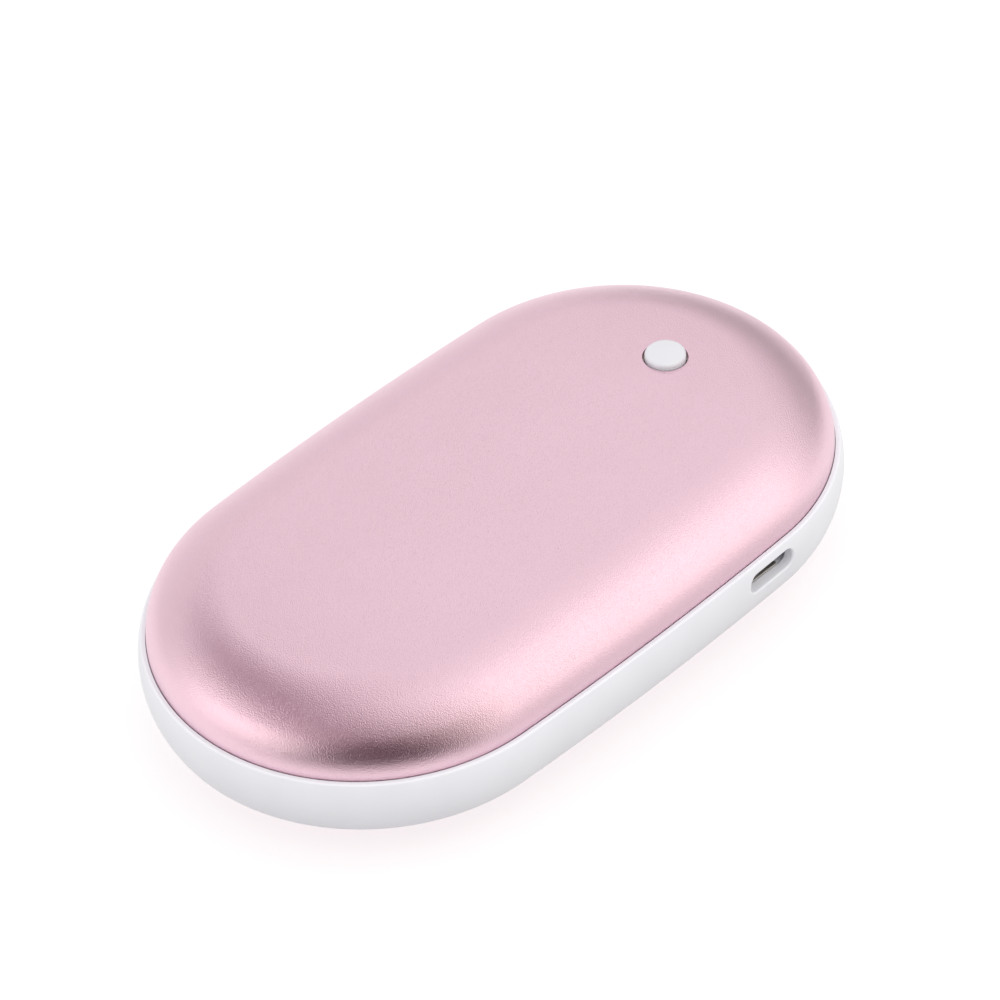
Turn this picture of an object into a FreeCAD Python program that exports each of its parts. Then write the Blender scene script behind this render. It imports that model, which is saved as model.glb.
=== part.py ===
import FreeCAD, Part
import math
import os
import re

import Sketcher
from FreeCAD import Rotation, Vector

# Rechargeable hand warmer: a long oval case of two aluminium covers bonded into a moulded ring.
# Two cells, a control board, two film heaters and a push button are inside.
# Millimetres, +Z up, +X towards the button, charging port on the -Y side.
# The origin is on the table, under the middle of the case.

SIZES = {
    # Case outline seen from above, and the ring that joins the covers
    "case_length": 100.0,
    "case_width": 57.1,
    "side_bow": 0.5,
    "frame_height": 8.25,
    "frame_barrel_radius": 10.4,
    "frame_bulge_height": 5.1,
    "frame_edge_radius": 0.3,
    "frame_wall": 3.6,
    "groove_depth": 0.9,
    "groove_lip_height": 0.7,
    "groove_gap": 0.08,
    "groove_inner_gap": 0.14,
    "bond_thickness": 0.2,
    # Covers: a domed top and a dished base with a flat to rest on
    "cover_wall": 0.7,
    "top_lip_width": 0.37,
    "base_lip_width": 0.31,
    "dome_rim_height": 0.2,
    "dome_foot_radius": 6.09,
    "dome_foot_rise": 4.8,
    "dome_shoulder_radius": 14.0,
    "dome_crown_radius": 230.0,
    "base_flat_width": 24.0,
    # Clearances
    "contact_gap": 0.05,
    "running_gap": 0.06,
    "cut_overrun": 1.0,
    # Button, its sleeve under the top cover, and the switch below it
    "button_setback": 19.4,
    "button_diameter": 5.2,
    "button_hole_gap": 0.3,
    "button_proud": 0.85,
    "button_crown_rise": 0.12,
    "button_edge_radius": 0.4,
    "button_flange_diameter": 7.2,
    "button_flange_thickness": 0.6,
    "button_stem_diameter": 3.2,
    "sleeve_diameter": 11.0,
    "sleeve_length": 2.0,
    "tape_thickness": 0.15,
    "switch_width": 6.0,
    "switch_base_height": 2.4,
    "switch_plate_thickness": 0.3,
    "switch_cavity_diameter": 4.6,
    "switch_cavity_depth": 1.4,
    "switch_post_diameter": 3.4,
    "switch_post_proud": 0.7,
    "snap_dome_diameter": 4.2,
    "snap_dome_rise": 0.6,
    "snap_dome_thickness": 0.1,
    "switch_terminal_width": 0.7,
    "switch_terminal_spacing": 4.5,
    "switch_terminal_reach": 1.2,
    "switch_terminal_thickness": 0.25,
    # Charging port and its receptacle, which hangs under the board
    "port_setback": 30.77,
    "port_level": 2.7,
    "port_width": 7.8,
    "port_height": 2.9,
    "port_corner_radius": 1.2,
    "socket_width": 7.4,
    "socket_height": 2.45,
    "socket_side_height": 1.3,
    "socket_corner_inset": 0.9,
    "socket_length": 5.2,
    "socket_wall": 0.3,
    "socket_recess": 2.2,
    "socket_lip_width": 4.6,
    "socket_lip_length": 0.7,
    "socket_lip_flare": 0.14,
    "socket_back_depth": 1.4,
    "socket_tongue_width": 3.6,
    "socket_tongue_thickness": 0.6,
    "socket_tongue_length": 3.0,
    "socket_contact_pitch": 0.65,
    "socket_contact_width": 0.35,
    "socket_contact_thickness": 0.12,
    # Cells and the plate that carries them
    "cell_diameter": 18.2,
    "cell_gap": 0.5,
    "board_bay": 35.7,
    "cell_sleeve_thickness": 0.15,
    "can_edge_radius": 0.8,
    "crimp_setback": 2.4,
    "crimp_width": 1.2,
    "crimp_depth": 0.7,
    "cell_cap_diameter": 7.0,
    "washer_thickness": 0.25,
    "washer_margin": 0.6,
    "strip_thickness": 0.15,
    "strip_height": 7.0,
    "strip_overhang": 4.0,
    "carrier_drop": 3.6,
    "carrier_thickness": 1.6,
    "carrier_corner_gap": 0.9,
    "carrier_ear_radius": 2.2,
    "carrier_stop_thickness": 1.2,
    "carrier_stop_height": 3.0,
    # Bosses inside the ring, and the screws that enter them from above and below
    "boss_radius": 2.7,
    "boss_setback": 2.4,
    "boss_cell_gap": 0.2,
    "screw_diameter": 2.0,
    "screw_tip_gap": 0.6,
    "screw_head_diameter": 3.6,
    "screw_head_height": 1.0,
    # Board and what is soldered to it
    "board_thickness": 1.2,
    "board_gap": 0.35,
    "board_cell_gap": 0.8,
    "board_tab_gap": 0.43,
    "board_tab_margin": 0.9,
    "chip_height": 1.5,
    "chip_width": 3.9,
    "chip_standoff": 0.15,
    "control_chip_length": 9.9,
    "charge_chip_length": 4.9,
    "chip_lead_pitch": 1.27,
    "chip_lead_width": 0.42,
    "chip_lead_reach": 1.0,
    "chip_lead_thickness": 0.2,
    "transistor_length": 6.5,
    "transistor_width": 6.1,
    "transistor_height": 2.3,
    "transistor_screw_gap": 1.2,
    "led_length": 1.6,
    "led_width": 0.8,
    "led_height": 0.7,
    "led_ring_radius": 5.4,
    "capacitor_length": 2.0,
    "capacitor_width": 1.25,
    "capacitor_height": 1.2,
    "resistor_length": 1.6,
    "resistor_width": 0.8,
    "resistor_height": 0.45,
    "pad_diameter": 1.8,
    "pad_thickness": 0.25,
    # Heaters, foam and leads
    "film_thickness": 0.15,
    "film_end_margin": 0.6,
    "film_sleeve_gap": 0.5,
    "upper_film_margin": 1.2,
    "lower_film_margin": 1.0,
    "track_thickness": 0.05,
    "track_width": 1.2,
    "track_margin": 1.6,
    "upper_foam_thickness": 0.8,
    "upper_foam_margin": 2.5,
    "lower_foam_thickness": 2.0,
    "foam_margin": 0.8,
    "foam_lead_gap": 1.15,
    "lead_diameter": 1.2,
    "heater_lead_diameter": 1.0,
    "thermistor_lead_diameter": 0.5,
    "lead_valley_drop": 1.8,
    "lead_arch": 4.6,
    "thermistor_diameter": 1.8,
    "thermistor_cell_gap": 3.55,
}

BOSS_ANGLE = 45.0

# Sizes and places that follow from the ones above
PLACES = {
    # Plan of four arcs: tighter ones round the ends, flatter ones that bow the sides
    "widest_radius": "case_width / 2 - side_bow",
    "end_centre_x": "case_length / 2 - widest_radius",
    "side_orbit": "(end_centre_x^2 + side_bow^2) / (2 * side_bow)",
    "side_centre_y": "side_orbit - side_bow",
    "side_half_turn": "asin(end_centre_x / side_orbit)",
    "inner_radius": "widest_radius - frame_wall",
    "barrel_centre": "widest_radius - frame_barrel_radius",
    # Rounds between the barrel side and the ring's flat edges, low and high
    "edge_orbit": "frame_barrel_radius - frame_edge_radius",
    "edge_stretch": "frame_barrel_radius / edge_orbit",
    "low_edge_drop": "frame_bulge_height - frame_edge_radius",
    "high_edge_rise": "frame_height - frame_bulge_height - frame_edge_radius",
    "low_edge_reach": "sqrt(edge_orbit^2 - low_edge_drop^2)",
    "high_edge_reach": "sqrt(edge_orbit^2 - high_edge_rise^2)",
    # Covers, each inside a thin lip of the ring
    "top_radius": "barrel_centre + high_edge_reach - top_lip_width - groove_gap",
    "base_radius": "barrel_centre + low_edge_reach - base_lip_width - groove_gap",
    # Dome of the top cover: foot, shoulder and crown arcs, each tangent to the next
    "foot_sine": "dome_foot_rise / dome_foot_radius",
    "foot_cosine": "sqrt(1 - foot_sine^2)",
    "shoulder_edge_radius": "top_radius - dome_foot_radius * (1 - foot_cosine)",
    "crown_cosine":
        "(shoulder_edge_radius - dome_shoulder_radius * foot_cosine)"
        " / (dome_crown_radius - dome_shoulder_radius)",
    "crown_sine": "sqrt(1 - crown_cosine^2)",
    "crown_edge_radius": "dome_crown_radius * crown_cosine",
    "shoulder_edge_rise": "dome_rim_height + dome_foot_rise",
    "crown_edge_rise": "shoulder_edge_rise + dome_shoulder_radius * (crown_sine - foot_sine)",
    "dome_height": "crown_edge_rise + dome_crown_radius * (1 - crown_sine)",
    # Stack of layers from the table to the crown, which sets the depth of the base
    "cell_radius": "cell_diameter / 2",
    "cell_side": "(cell_diameter + cell_gap) / 2",
    "can_radius": "cell_radius - cell_sleeve_thickness - contact_gap",
    "lower_film_z": "cover_wall + contact_gap",
    "lower_track_z": "lower_film_z + film_thickness",
    "lower_foam_z": "lower_track_z + track_thickness + contact_gap",
    "cell_axis_z": "lower_foam_z + lower_foam_thickness + contact_gap + cell_radius",
    "crest_z": "cell_axis_z + cell_radius",
    "crown_inner_radius": "dome_crown_radius - cover_wall",
    "upper_film_radius": "crown_inner_radius - contact_gap",
    "upper_track_radius": "upper_film_radius - film_thickness",
    "upper_foam_radius": "upper_track_radius - track_thickness - contact_gap",
    "crown_centre_z":
        "crest_z + contact_gap - sqrt((upper_foam_radius - upper_foam_thickness)^2 - cell_side^2)",
    "cover_top_z": "crown_centre_z + dome_crown_radius",
    "upper_track_low_z": "crown_centre_z + upper_track_radius - track_thickness",
    "frame_top_z": "cover_top_z - dome_height",
    "frame_base_z": "frame_top_z - frame_height",
    "bulge_z": "frame_base_z + frame_bulge_height",
    "upper_groove_z": "frame_top_z - groove_depth",
    "lower_groove_z": "frame_base_z + groove_depth",
    "top_rim_z": "upper_groove_z + bond_thickness",
    "base_rim_z": "lower_groove_z - bond_thickness",
    "base_slope_width": "base_radius - base_flat_width / 2",
    "base_slope_radius": "(base_slope_width^2 + frame_base_z^2) / (2 * frame_base_z)",
    "base_inner_corner_z":
        "base_slope_radius"
        " - sqrt((base_slope_radius - cover_wall)^2 - (base_slope_width - cover_wall)^2)",
    # Bosses near the ends of the ring, and the cells between them
    "boss_ring_radius": "inner_radius - boss_setback",
    "boss_x": f"end_centre_x + boss_ring_radius * cos({BOSS_ANGLE} deg)",
    "boss_y": f"boss_ring_radius * sin({BOSS_ANGLE} deg)",
    "carrier_room": "strip_thickness + 2 * contact_gap",
    "carrier_half_width": "cell_side + cell_radius",
    "carrier_end_reach":
        "sqrt((inner_radius - carrier_corner_gap)^2 - carrier_half_width^2)",
    "boss_clear_x": "boss_radius + boss_cell_gap - boss_x",
    "corner_clear_x":
        "carrier_stop_thickness + carrier_room - end_centre_x - carrier_end_reach",
    "cell_start_x": "max(boss_clear_x; corner_clear_x)",
    "cell_end_x": "case_length / 2 - board_bay",
    "cell_middle_x": "(cell_start_x + cell_end_x) / 2",
    "cell_length": "cell_end_x - cell_start_x",
    "button_x": "case_length / 2 - button_setback",
    "port_x": "case_length / 2 - port_setback",
    "carrier_top_z": "cell_axis_z - carrier_drop",
    "carrier_low_z": "carrier_top_z - carrier_thickness",
    # Board, receptacle and switch
    "port_z": "frame_top_z - port_level",
    "port_face_y": "sqrt((side_orbit + widest_radius)^2 - port_x^2) - side_centre_y",
    "socket_mouth_y": "port_face_y - socket_recess",
    "board_low_z": "port_z + socket_height / 2",
    "board_top_z": "board_low_z + board_thickness",
    "boss_height": "board_low_z - carrier_top_z",
    "screw_bite": "(boss_height - screw_tip_gap) / 2",
    "screw_hole_radius": "screw_diameter / 2 + contact_gap",
    "board_left_x": "cell_end_x + strip_thickness + board_cell_gap",
    "board_radius": "inner_radius - board_gap",
    "board_length": "end_centre_x + board_radius - board_left_x",
    "board_tab_width": "socket_width + 2 * board_tab_margin",
    "board_tab_overhang": "max(0; port_x + board_tab_width / 2 - end_centre_x)",
    "board_tab_y":
        "min(socket_mouth_y - socket_wall - contact_gap;"
        " sqrt((top_radius - cover_wall - groove_inner_gap - board_tab_gap)^2 - board_tab_overhang^2))",
    "transistor_x":
        "boss_x - screw_head_diameter / 2 - transistor_screw_gap - transistor_length / 2",
    "socket_low_z": "board_low_z - socket_height",
    "socket_back_y": "socket_mouth_y - socket_length",
    "switch_top_z": "board_top_z + switch_base_height",
    "switch_floor_z": "switch_top_z - switch_cavity_depth",
    "post_top_z": "switch_top_z + switch_plate_thickness + switch_post_proud",
    "button_seat_z":
        "crown_centre_z + sqrt(dome_crown_radius^2 - (button_x - end_centre_x)^2)",
    "button_top_z": "button_seat_z + button_proud",
    "button_edge_z": "button_top_z - button_crown_rise - button_edge_radius",
    "button_flat_radius": "button_diameter / 2 - button_edge_radius",
    "button_crown_radius":
        "(button_flat_radius^2 + button_crown_rise^2) / (2 * button_crown_rise)",
    "tape_radius": "crown_inner_radius - contact_gap",
    "sleeve_radius": "tape_radius - tape_thickness - contact_gap",
    "sleeve_low_z":
        "button_seat_z - cover_wall - tape_thickness - 2 * contact_gap - sleeve_length",
    "flange_top_z": "sleeve_low_z - contact_gap",
    "flange_low_z": "flange_top_z - button_flange_thickness",
    "snap_dome_radius": "(snap_dome_diameter^2 / 4 + snap_dome_rise^2) / (2 * snap_dome_rise)",
    "snap_dome_inner_radius": "snap_dome_radius - snap_dome_thickness",
    # Heaters, foam and leads
    "film_start_x": "film_end_margin - end_centre_x",
    "film_end_x":
        "min(end_centre_x - film_end_margin; button_x - sleeve_diameter / 2 - film_sleeve_gap)",
    "film_length": "film_end_x - film_start_x",
    "film_middle_x": "(film_start_x + film_end_x) / 2",
    "upper_film_width": "2 * (crown_edge_radius - upper_film_margin)",
    "upper_foam_width": "upper_film_width - 2 * upper_foam_margin",
    "lower_film_width": "base_flat_width - 2 * lower_film_margin",
    "foam_length": "cell_end_x - film_start_x",
    "foam_middle_x": "(film_start_x + cell_end_x) / 2",
    "lower_foam_width": "lower_film_width - 2 * foam_margin",
    "pad_top_z": "board_top_z + pad_thickness",
    "pad_low_z": "board_low_z - pad_thickness",
    "lead_radius": "lead_diameter / 2",
    "heater_lead_radius": "heater_lead_diameter / 2",
    "heater_lead_start_x": "cell_end_x + foam_lead_gap",
    "strip_outer_x": "cell_end_x + strip_thickness",
}

# Places on the board, as shares of its length from the cells' side and of its half width
NEGATIVE_PAD_SHARES = (0.10, 0.0)
POSITIVE_PAD_SHARES = (0.16, 0.22)
UPPER_HEATER_PAD_SHARES = ((0.25, -0.09), (0.25, 0.09))
LOWER_HEATER_PAD_SHARES = ((0.30, -0.09), (0.30, 0.09))
THERMISTOR_PAD_SHARES = ((0.29, 0.19), (0.29, 0.25))
CONTROL_CHIP_SHARES = (0.24, 0.44)
CHARGE_CHIP_SHARES = (0.20, -0.38)
CAPACITOR_SHARES = (
    (0.10, -0.66), (0.20, -0.66), (0.30, -0.66),
    (0.46, 0.32), (0.46, -0.32), (0.80, 0.16),
)
RESISTOR_SHARES = (
    (0.06, 0.72), (0.14, 0.72), (0.22, 0.72), (0.30, 0.72),
    (0.34, -0.44), (0.34, -0.32), (0.80, -0.16), (0.86, 0.0),
)
BEND_SHARE = 0.45
LED_ANGLES = (60.0, 180.0, 300.0)
TRACK_RUNS = 8
CONTACT_COUNT = 5
CONTROL_LEADS_PER_SIDE = 7
CHARGE_LEADS_PER_SIDE = 4

doc = FreeCAD.newDocument("HandWarmer")
sheet = doc.addObject("Spreadsheet::Sheet", "Sizes")
nodes = []


def fill_sheet():
    """Writes the driving sizes as plain numbers, and the places as formulas below them."""
    rows = [(alias, str(number)) for alias, number in SIZES.items()]
    rows += [(alias, "=" + formula) for alias, formula in PLACES.items()]
    for row, (alias, content) in enumerate(rows, start=1):
        sheet.set(f"A{row}", alias)
        sheet.set(f"B{row}", content)
        sheet.setAlias(f"B{row}", alias)
    doc.recompute()


def sized(formula):
    """Turns a formula in named sizes into an expression that reads the sheet."""
    def cell(match):
        word = match.group(0)
        return f"Sizes.{word}" if word in SIZES or word in PLACES else word
    return re.sub(r"[a-z_]+", cell, formula)


def value(formula):
    return float(sheet.evalExpression(sized(formula)))


def bind(item, **formulas):
    for name, formula in formulas.items():
        item.setExpression(name, sized(formula))
    return item


def place(item, x="0", y="0", z="0"):
    for axis, formula in zip("xyz", (x, y, z)):
        item.setExpression(f"Placement.Base.{axis}", sized(formula))
    return item


def node(name, item):
    """Names a finished piece, which is written to a file of that name."""
    item.Label = name
    nodes.append(item)
    return item


def box(name, length, width, height, x="0", y="0", z="0"):
    """Block centred on x and y that stands on z."""
    item = bind(doc.addObject("Part::Box", name), Length=length, Width=width, Height=height)
    return place(item, f"{x} - ({length}) / 2", f"{y} - ({width}) / 2", z)


def cylinder(name, radius, height, x="0", y="0", z="0", lying=False):
    """Round bar that stands on z, or lies along X from x."""
    item = doc.addObject("Part::Cylinder", name)
    if lying:
        item.Placement.Rotation = Rotation(Vector(0, 1, 0), 90)
    return place(bind(item, Radius=radius, Height=height), x, y, z)


def sphere(name, radius, x, y, z):
    return place(bind(doc.addObject("Part::Sphere", name), Radius=radius), x, y, z)


def fuse(name, items):
    item = doc.addObject("Part::MultiFuse", name)
    item.Shapes = items
    item.Refine = True
    return item


def common(name, items):
    item = doc.addObject("Part::MultiCommon", name)
    item.Shapes = items
    return item


def cut(name, base, tools):
    """Takes the tools away from the base, and stops if they miss it."""
    item = doc.addObject("Part::Cut", name)
    item.Base = base
    item.Tool = tools[0] if len(tools) == 1 else fuse(f"{name}_tools", tools)
    doc.recompute()
    if not item.Shape.Volume < base.Shape.Volume:
        raise RuntimeError(f"nothing was cut from {name}")
    return item


def group(name, items):
    item = doc.addObject("Part::Compound", name)
    item.Links = items
    return item


def origin_plane(body, role):
    return next(plane for plane in body.Origin.OriginFeatures if plane.Role == role)


def arc_between(start, end, radius, turn):
    """Arc under half a circle from start to end, with its centre on the left or the right."""
    chord = end - start
    side = Vector(-chord.y, chord.x, 0).normalize() * (1 if turn == "left" else -1)
    centre = (start + end) / 2 + side * math.sqrt(radius**2 - (chord.Length / 2)**2)
    first, last = (start, end) if turn == "left" else (end, start)
    angles = [math.atan2(point.y - centre.y, point.x - centre.x) for point in (first, last)]
    return Part.ArcOfCircle(Part.Circle(centre, Vector(0, 0, 1), radius), *angles)


def hold_point(sketch, geometry, position, x, y):
    """Ties one end of a line or arc to its two formulas."""
    for kind, formula in (("DistanceX", x), ("DistanceY", y)):
        index = sketch.addConstraint(Sketcher.Constraint(kind, geometry, position, value(formula)))
        sketch.setExpression(f"Constraints[{index}]", sized(formula))


def draw_loop(sketch, points, shift_x, shift_y):
    """Closed outline. A point is (x, y), or (x, y, radius, turn) where an arc arrives at it."""
    count = len(points)
    formulas = [(f"{point[0]} + {shift_x}", f"{point[1]} + {shift_y}") for point in points]
    places = [Vector(value(x), value(y), 0) for x, y in formulas]
    edges = []
    for index in range(count):
        arriving = points[(index + 1) % count]
        start, end = places[index], places[(index + 1) % count]
        if len(arriving) == 2:
            geometry = sketch.addGeometry(Part.LineSegment(start, end))
            edges.append((geometry, 1, 2))
            continue
        radius, turn = arriving[2:]
        geometry = sketch.addGeometry(arc_between(start, end, value(radius), turn))
        edges.append((geometry, 1, 2) if turn == "left" else (geometry, 2, 1))
        constraint = sketch.addConstraint(Sketcher.Constraint("Radius", geometry, value(radius)))
        sketch.setExpression(f"Constraints[{constraint}]", sized(radius))
    for index, (geometry, first, last) in enumerate(edges):
        following, following_first, _ = edges[(index + 1) % count]
        sketch.addConstraint(
            Sketcher.Constraint("Coincident", geometry, last, following, following_first))
        hold_point(sketch, geometry, first, *formulas[index])


def outline(body, plane, loops, shift_x="0", shift_y="0", at="0"):
    """Sketch on one of the body's own planes, moved along that plane's normal."""
    sketch = body.newObject("Sketcher::SketchObject", f"{body.Name}_outline")
    sketch.AttachmentSupport = [(origin_plane(body, plane), "")]
    sketch.MapMode = "FlatFace"
    sketch.setExpression("AttachmentOffset.Base.z", sized(at))
    for points in loops:
        draw_loop(sketch, points, shift_x, shift_y)
    return sketch


def prism(name, plane, loops, length, at="0", both_ways=False, backwards=False,
          shift_x="0", shift_y="0"):
    """Straight extrusion of an outline."""
    body = doc.addObject("PartDesign::Body", name)
    pad = body.newObject("PartDesign::Pad", f"{name}_pad")
    pad.Profile = outline(body, plane, loops, shift_x, shift_y, at)
    pad.SideType = "Symmetric" if both_ways else "One side"
    pad.Reversed = backwards
    bind(pad, Length=length)
    body.Tip = pad
    return body


def turn_about(body, plane, points, shift_x, shift_y, axis_x, along="Z", turn="360 deg"):
    """Turns an outline evenly both ways about a line at axis_x in its own plane, upright or lying."""
    sketch = outline(body, plane, [points], shift_x, shift_y)
    far_x = axis_x if along == "Z" else f"{axis_x} + case_length"
    far_y = f"{shift_y} + case_width" if along == "Z" else shift_y
    ends = [(axis_x, shift_y), (far_x, far_y)]
    line = Part.LineSegment(*[Vector(value(x), value(y), 0) for x, y in ends])
    axis = sketch.addGeometry(line, True)
    for position, (x, y) in enumerate(ends, start=1):
        hold_point(sketch, axis, position, x, y)
    turned = body.newObject("PartDesign::Revolution", f"{body.Name}_turn")
    turned.Profile = sketch
    turned.ReferenceAxis = (sketch, ["Axis0"])
    turned.Midplane = True
    bind(turned, Angle=turn)
    body.Tip = turned
    return turned


def revolved(name, points, shift_x="0", shift_y="0", along="Z"):
    """Full turn of an outline given as (radius, height), or (place, radius) about a lying line."""
    body = doc.addObject("PartDesign::Body", name)
    turn_about(body, "XZ_Plane", points, shift_x, shift_y, shift_x, along)
    return body


def mirrored(body, feature, plane):
    mirror = body.newObject("PartDesign::Mirrored", f"{feature.Name}_mirrored")
    mirror.Originals = [feature]
    mirror.MirrorPlane = (origin_plane(body, plane), [""])
    body.Tip = mirror


def long_oval(name, points, middle_z=None):
    """Section of (radius, height) carried round the four arcs of the plan.

    A cover is closed by a level strip of its wall at middle_z, between the arcs of the two sides.
    """
    body = doc.addObject("PartDesign::Body", name)
    end = turn_about(body, "XZ_Plane", points, "end_centre_x", "0", "end_centre_x",
                     turn="180 deg - 2 * side_half_turn")
    side = turn_about(body, "YZ_Plane", points, "side_bow", "0", "0 - side_centre_y",
                      turn="2 * side_half_turn")
    mirrored(body, side, "XZ_Plane")
    mirrored(body, end, "YZ_Plane")
    if middle_z:
        strip = body.newObject("PartDesign::Pad", f"{name}_strip")
        strip.Profile = outline(body, "XY_Plane", [[
            ("0 - end_centre_x", "0", "side_orbit", "left"), ("end_centre_x", "0", "side_orbit", "left"),
        ]], at=middle_z)
        bind(strip, Length="cover_wall")
        body.Tip = strip
    doc.recompute()
    return body


def rectangle(low_x, high_x, low_y, high_y):
    return [(low_x, low_y), (high_x, low_y), (high_x, high_y), (low_x, high_y)]


def rounded_rectangle(width, height, radius):
    """Outline about the origin with quarter rounds at its corners."""
    x, y = f"({width}) / 2", f"({height}) / 2"
    return [
        (f"{x} - {radius}", f"-{y}"), (x, f"{radius} - {y}", radius, "left"),
        (x, f"{y} - {radius}"), (f"{x} - {radius}", y, radius, "left"),
        (f"{radius} - {x}", y), (f"-{x}", f"{y} - {radius}", radius, "left"),
        (f"-{x}", f"{radius} - {y}"), (f"{radius} - {x}", f"-{y}", radius, "left"),
    ]


def board_place(shares):
    along, across = shares
    return f"(board_left_x + {along} * board_length)", f"({across} * board_radius)"


# Case

def top_cover():
    shell = long_oval("top_shell", [
        ("top_radius", "top_rim_z"),
        ("top_radius", "frame_top_z + dome_rim_height"),
        ("shoulder_edge_radius", "frame_top_z + shoulder_edge_rise", "dome_foot_radius", "left"),
        ("crown_edge_radius", "frame_top_z + crown_edge_rise", "dome_shoulder_radius", "left"),
        ("0", "cover_top_z", "dome_crown_radius", "left"),
        ("0", "cover_top_z - cover_wall"),
        ("crown_edge_radius - cover_wall * crown_cosine",
         "frame_top_z + crown_edge_rise - cover_wall * crown_sine", "crown_inner_radius", "right"),
        ("shoulder_edge_radius - cover_wall * foot_cosine",
         "frame_top_z + shoulder_edge_rise - cover_wall * foot_sine",
         "dome_shoulder_radius - cover_wall", "right"),
        ("top_radius - cover_wall", "frame_top_z + dome_rim_height",
         "dome_foot_radius - cover_wall", "right"),
        ("top_radius - cover_wall", "top_rim_z"),
    ], middle_z="cover_top_z - cover_wall")
    hole = cylinder("button_hole", "button_diameter / 2 + button_hole_gap",
                    "cover_top_z - frame_top_z + cut_overrun", "button_x", "0", "frame_top_z")
    node("top_cover", cut("top_cover", shell, [hole]))


def bottom_cover():
    node("bottom_cover", long_oval("bottom_cover", [
        ("0", "0"),
        ("base_flat_width / 2", "0"),
        ("base_radius", "frame_base_z", "base_slope_radius", "left"),
        ("base_radius", "base_rim_z"),
        ("base_radius - cover_wall", "base_rim_z"),
        ("base_radius - cover_wall", "base_inner_corner_z"),
        ("base_flat_width / 2", "cover_wall", "base_slope_radius - cover_wall", "right"),
        ("0", "cover_wall"),
    ], middle_z="0"))


def cover_bonds():
    for name, radius, low, high in (
            ("top_cover_bond", "top_radius", "upper_groove_z", "top_rim_z"),
            ("bottom_cover_bond", "base_radius", "base_rim_z", "lower_groove_z")):
        node(name, long_oval(name, rectangle(f"{radius} - cover_wall", radius, low, high)))


def frame_ring():
    """Barrel-sided ring with a groove above and below for the rims of the covers."""
    return long_oval("frame_ring", [
        ("barrel_centre + low_edge_reach", "frame_base_z"),
        ("barrel_centre + low_edge_reach * edge_stretch", "bulge_z - low_edge_drop * edge_stretch",
         "frame_edge_radius", "left"),
        ("barrel_centre + high_edge_reach * edge_stretch", "bulge_z + high_edge_rise * edge_stretch",
         "frame_barrel_radius", "left"),
        ("barrel_centre + high_edge_reach", "frame_top_z", "frame_edge_radius", "left"),
        ("top_radius + groove_gap", "frame_top_z"),
        ("top_radius + groove_gap", "upper_groove_z"),
        ("top_radius - cover_wall - groove_inner_gap", "upper_groove_z"),
        ("top_radius - cover_wall - groove_inner_gap", "upper_groove_z + groove_lip_height"),
        ("inner_radius", "upper_groove_z + groove_lip_height"),
        ("inner_radius", "lower_groove_z - groove_lip_height"),
        ("base_radius - cover_wall - groove_inner_gap", "lower_groove_z - groove_lip_height"),
        ("base_radius - cover_wall - groove_inner_gap", "lower_groove_z"),
        ("base_radius + groove_gap", "lower_groove_z"),
        ("base_radius + groove_gap", "frame_base_z"),
    ])


def boss_places(end):
    """The two bosses at the button's end (empty sign) or at the other end (minus)."""
    return [(f"({end}boss_x)", f"({side}boss_y)") for side in ("", "-")]


def mid_frame():
    solids = [frame_ring()]
    holes = []
    for index, (x, y) in enumerate(boss_places("") + boss_places("-")):
        solids.append(cylinder(f"boss_{index}", "boss_radius", "boss_height", x, y, "carrier_top_z"))
        holes.append(cylinder(f"boss_hole_{index}", "screw_hole_radius", "boss_height + 2 * cut_overrun",
                              x, y, "carrier_top_z - cut_overrun"))
    aperture = prism("port_aperture", "XZ_Plane",
                     [rounded_rectangle("port_width", "port_height", "port_corner_radius")],
                     "widest_radius + cut_overrun", shift_x="port_x", shift_y="port_z")
    notch_depth = "board_tab_y - inner_radius + board_gap / 2 + cut_overrun"
    notch = box("board_notch", "board_tab_width + 2 * board_gap", notch_depth, "frame_height",
                "port_x", f"cut_overrun - inner_radius - ({notch_depth}) / 2", "socket_low_z - board_gap")
    pocket = box("socket_pocket", "socket_width + 2 * board_gap", "socket_length",
                 "socket_height + board_gap + contact_gap", "port_x",
                 "socket_length / 2 - socket_mouth_y - contact_gap", "socket_low_z - board_gap")
    tools = holes + [aperture, notch, pocket]
    node("mid_frame", cut("mid_frame", fuse("frame_with_bosses", solids), tools))


# Button and switch

def button_cap():
    node("button_cap", revolved("button_cap", [
        ("0", "post_top_z"),
        ("button_stem_diameter / 2", "post_top_z"),
        ("button_stem_diameter / 2", "flange_low_z"),
        ("button_flange_diameter / 2", "flange_low_z"),
        ("button_flange_diameter / 2", "flange_top_z"),
        ("button_diameter / 2", "flange_top_z"),
        ("button_diameter / 2", "button_edge_z"),
        ("button_flat_radius", "button_edge_z + button_edge_radius", "button_edge_radius", "left"),
        ("0", "button_top_z", "button_crown_radius", "left"),
    ], shift_x="button_x"))


def crown_sphere(name, radius):
    return sphere(name, radius, "end_centre_x", "0", "crown_centre_z")


def sleeve_blank(name):
    blank = cylinder(f"{name}_blank", "sleeve_diameter / 2", "cover_top_z - sleeve_low_z",
                     "button_x", "0", "sleeve_low_z")
    bore = cylinder(f"{name}_bore", "button_diameter / 2 + running_gap",
                    "cover_top_z - sleeve_low_z + 2 * cut_overrun",
                    "button_x", "0", "sleeve_low_z - cut_overrun")
    return cut(f"{name}_tube", blank, [bore])


def button_sleeve():
    """Guide tube whose top follows the crown, with a ring of tape between it and the cover."""
    node("button_sleeve", common(
        "button_sleeve", [sleeve_blank("sleeve"), crown_sphere("sleeve_crown", "sleeve_radius")]))
    layer = cut("tape_layer", crown_sphere("tape_crown", "tape_radius"),
                [crown_sphere("tape_floor", "tape_radius - tape_thickness")])
    node("button_sleeve_tape", common("button_sleeve_tape", [sleeve_blank("tape"), layer]))


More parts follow.
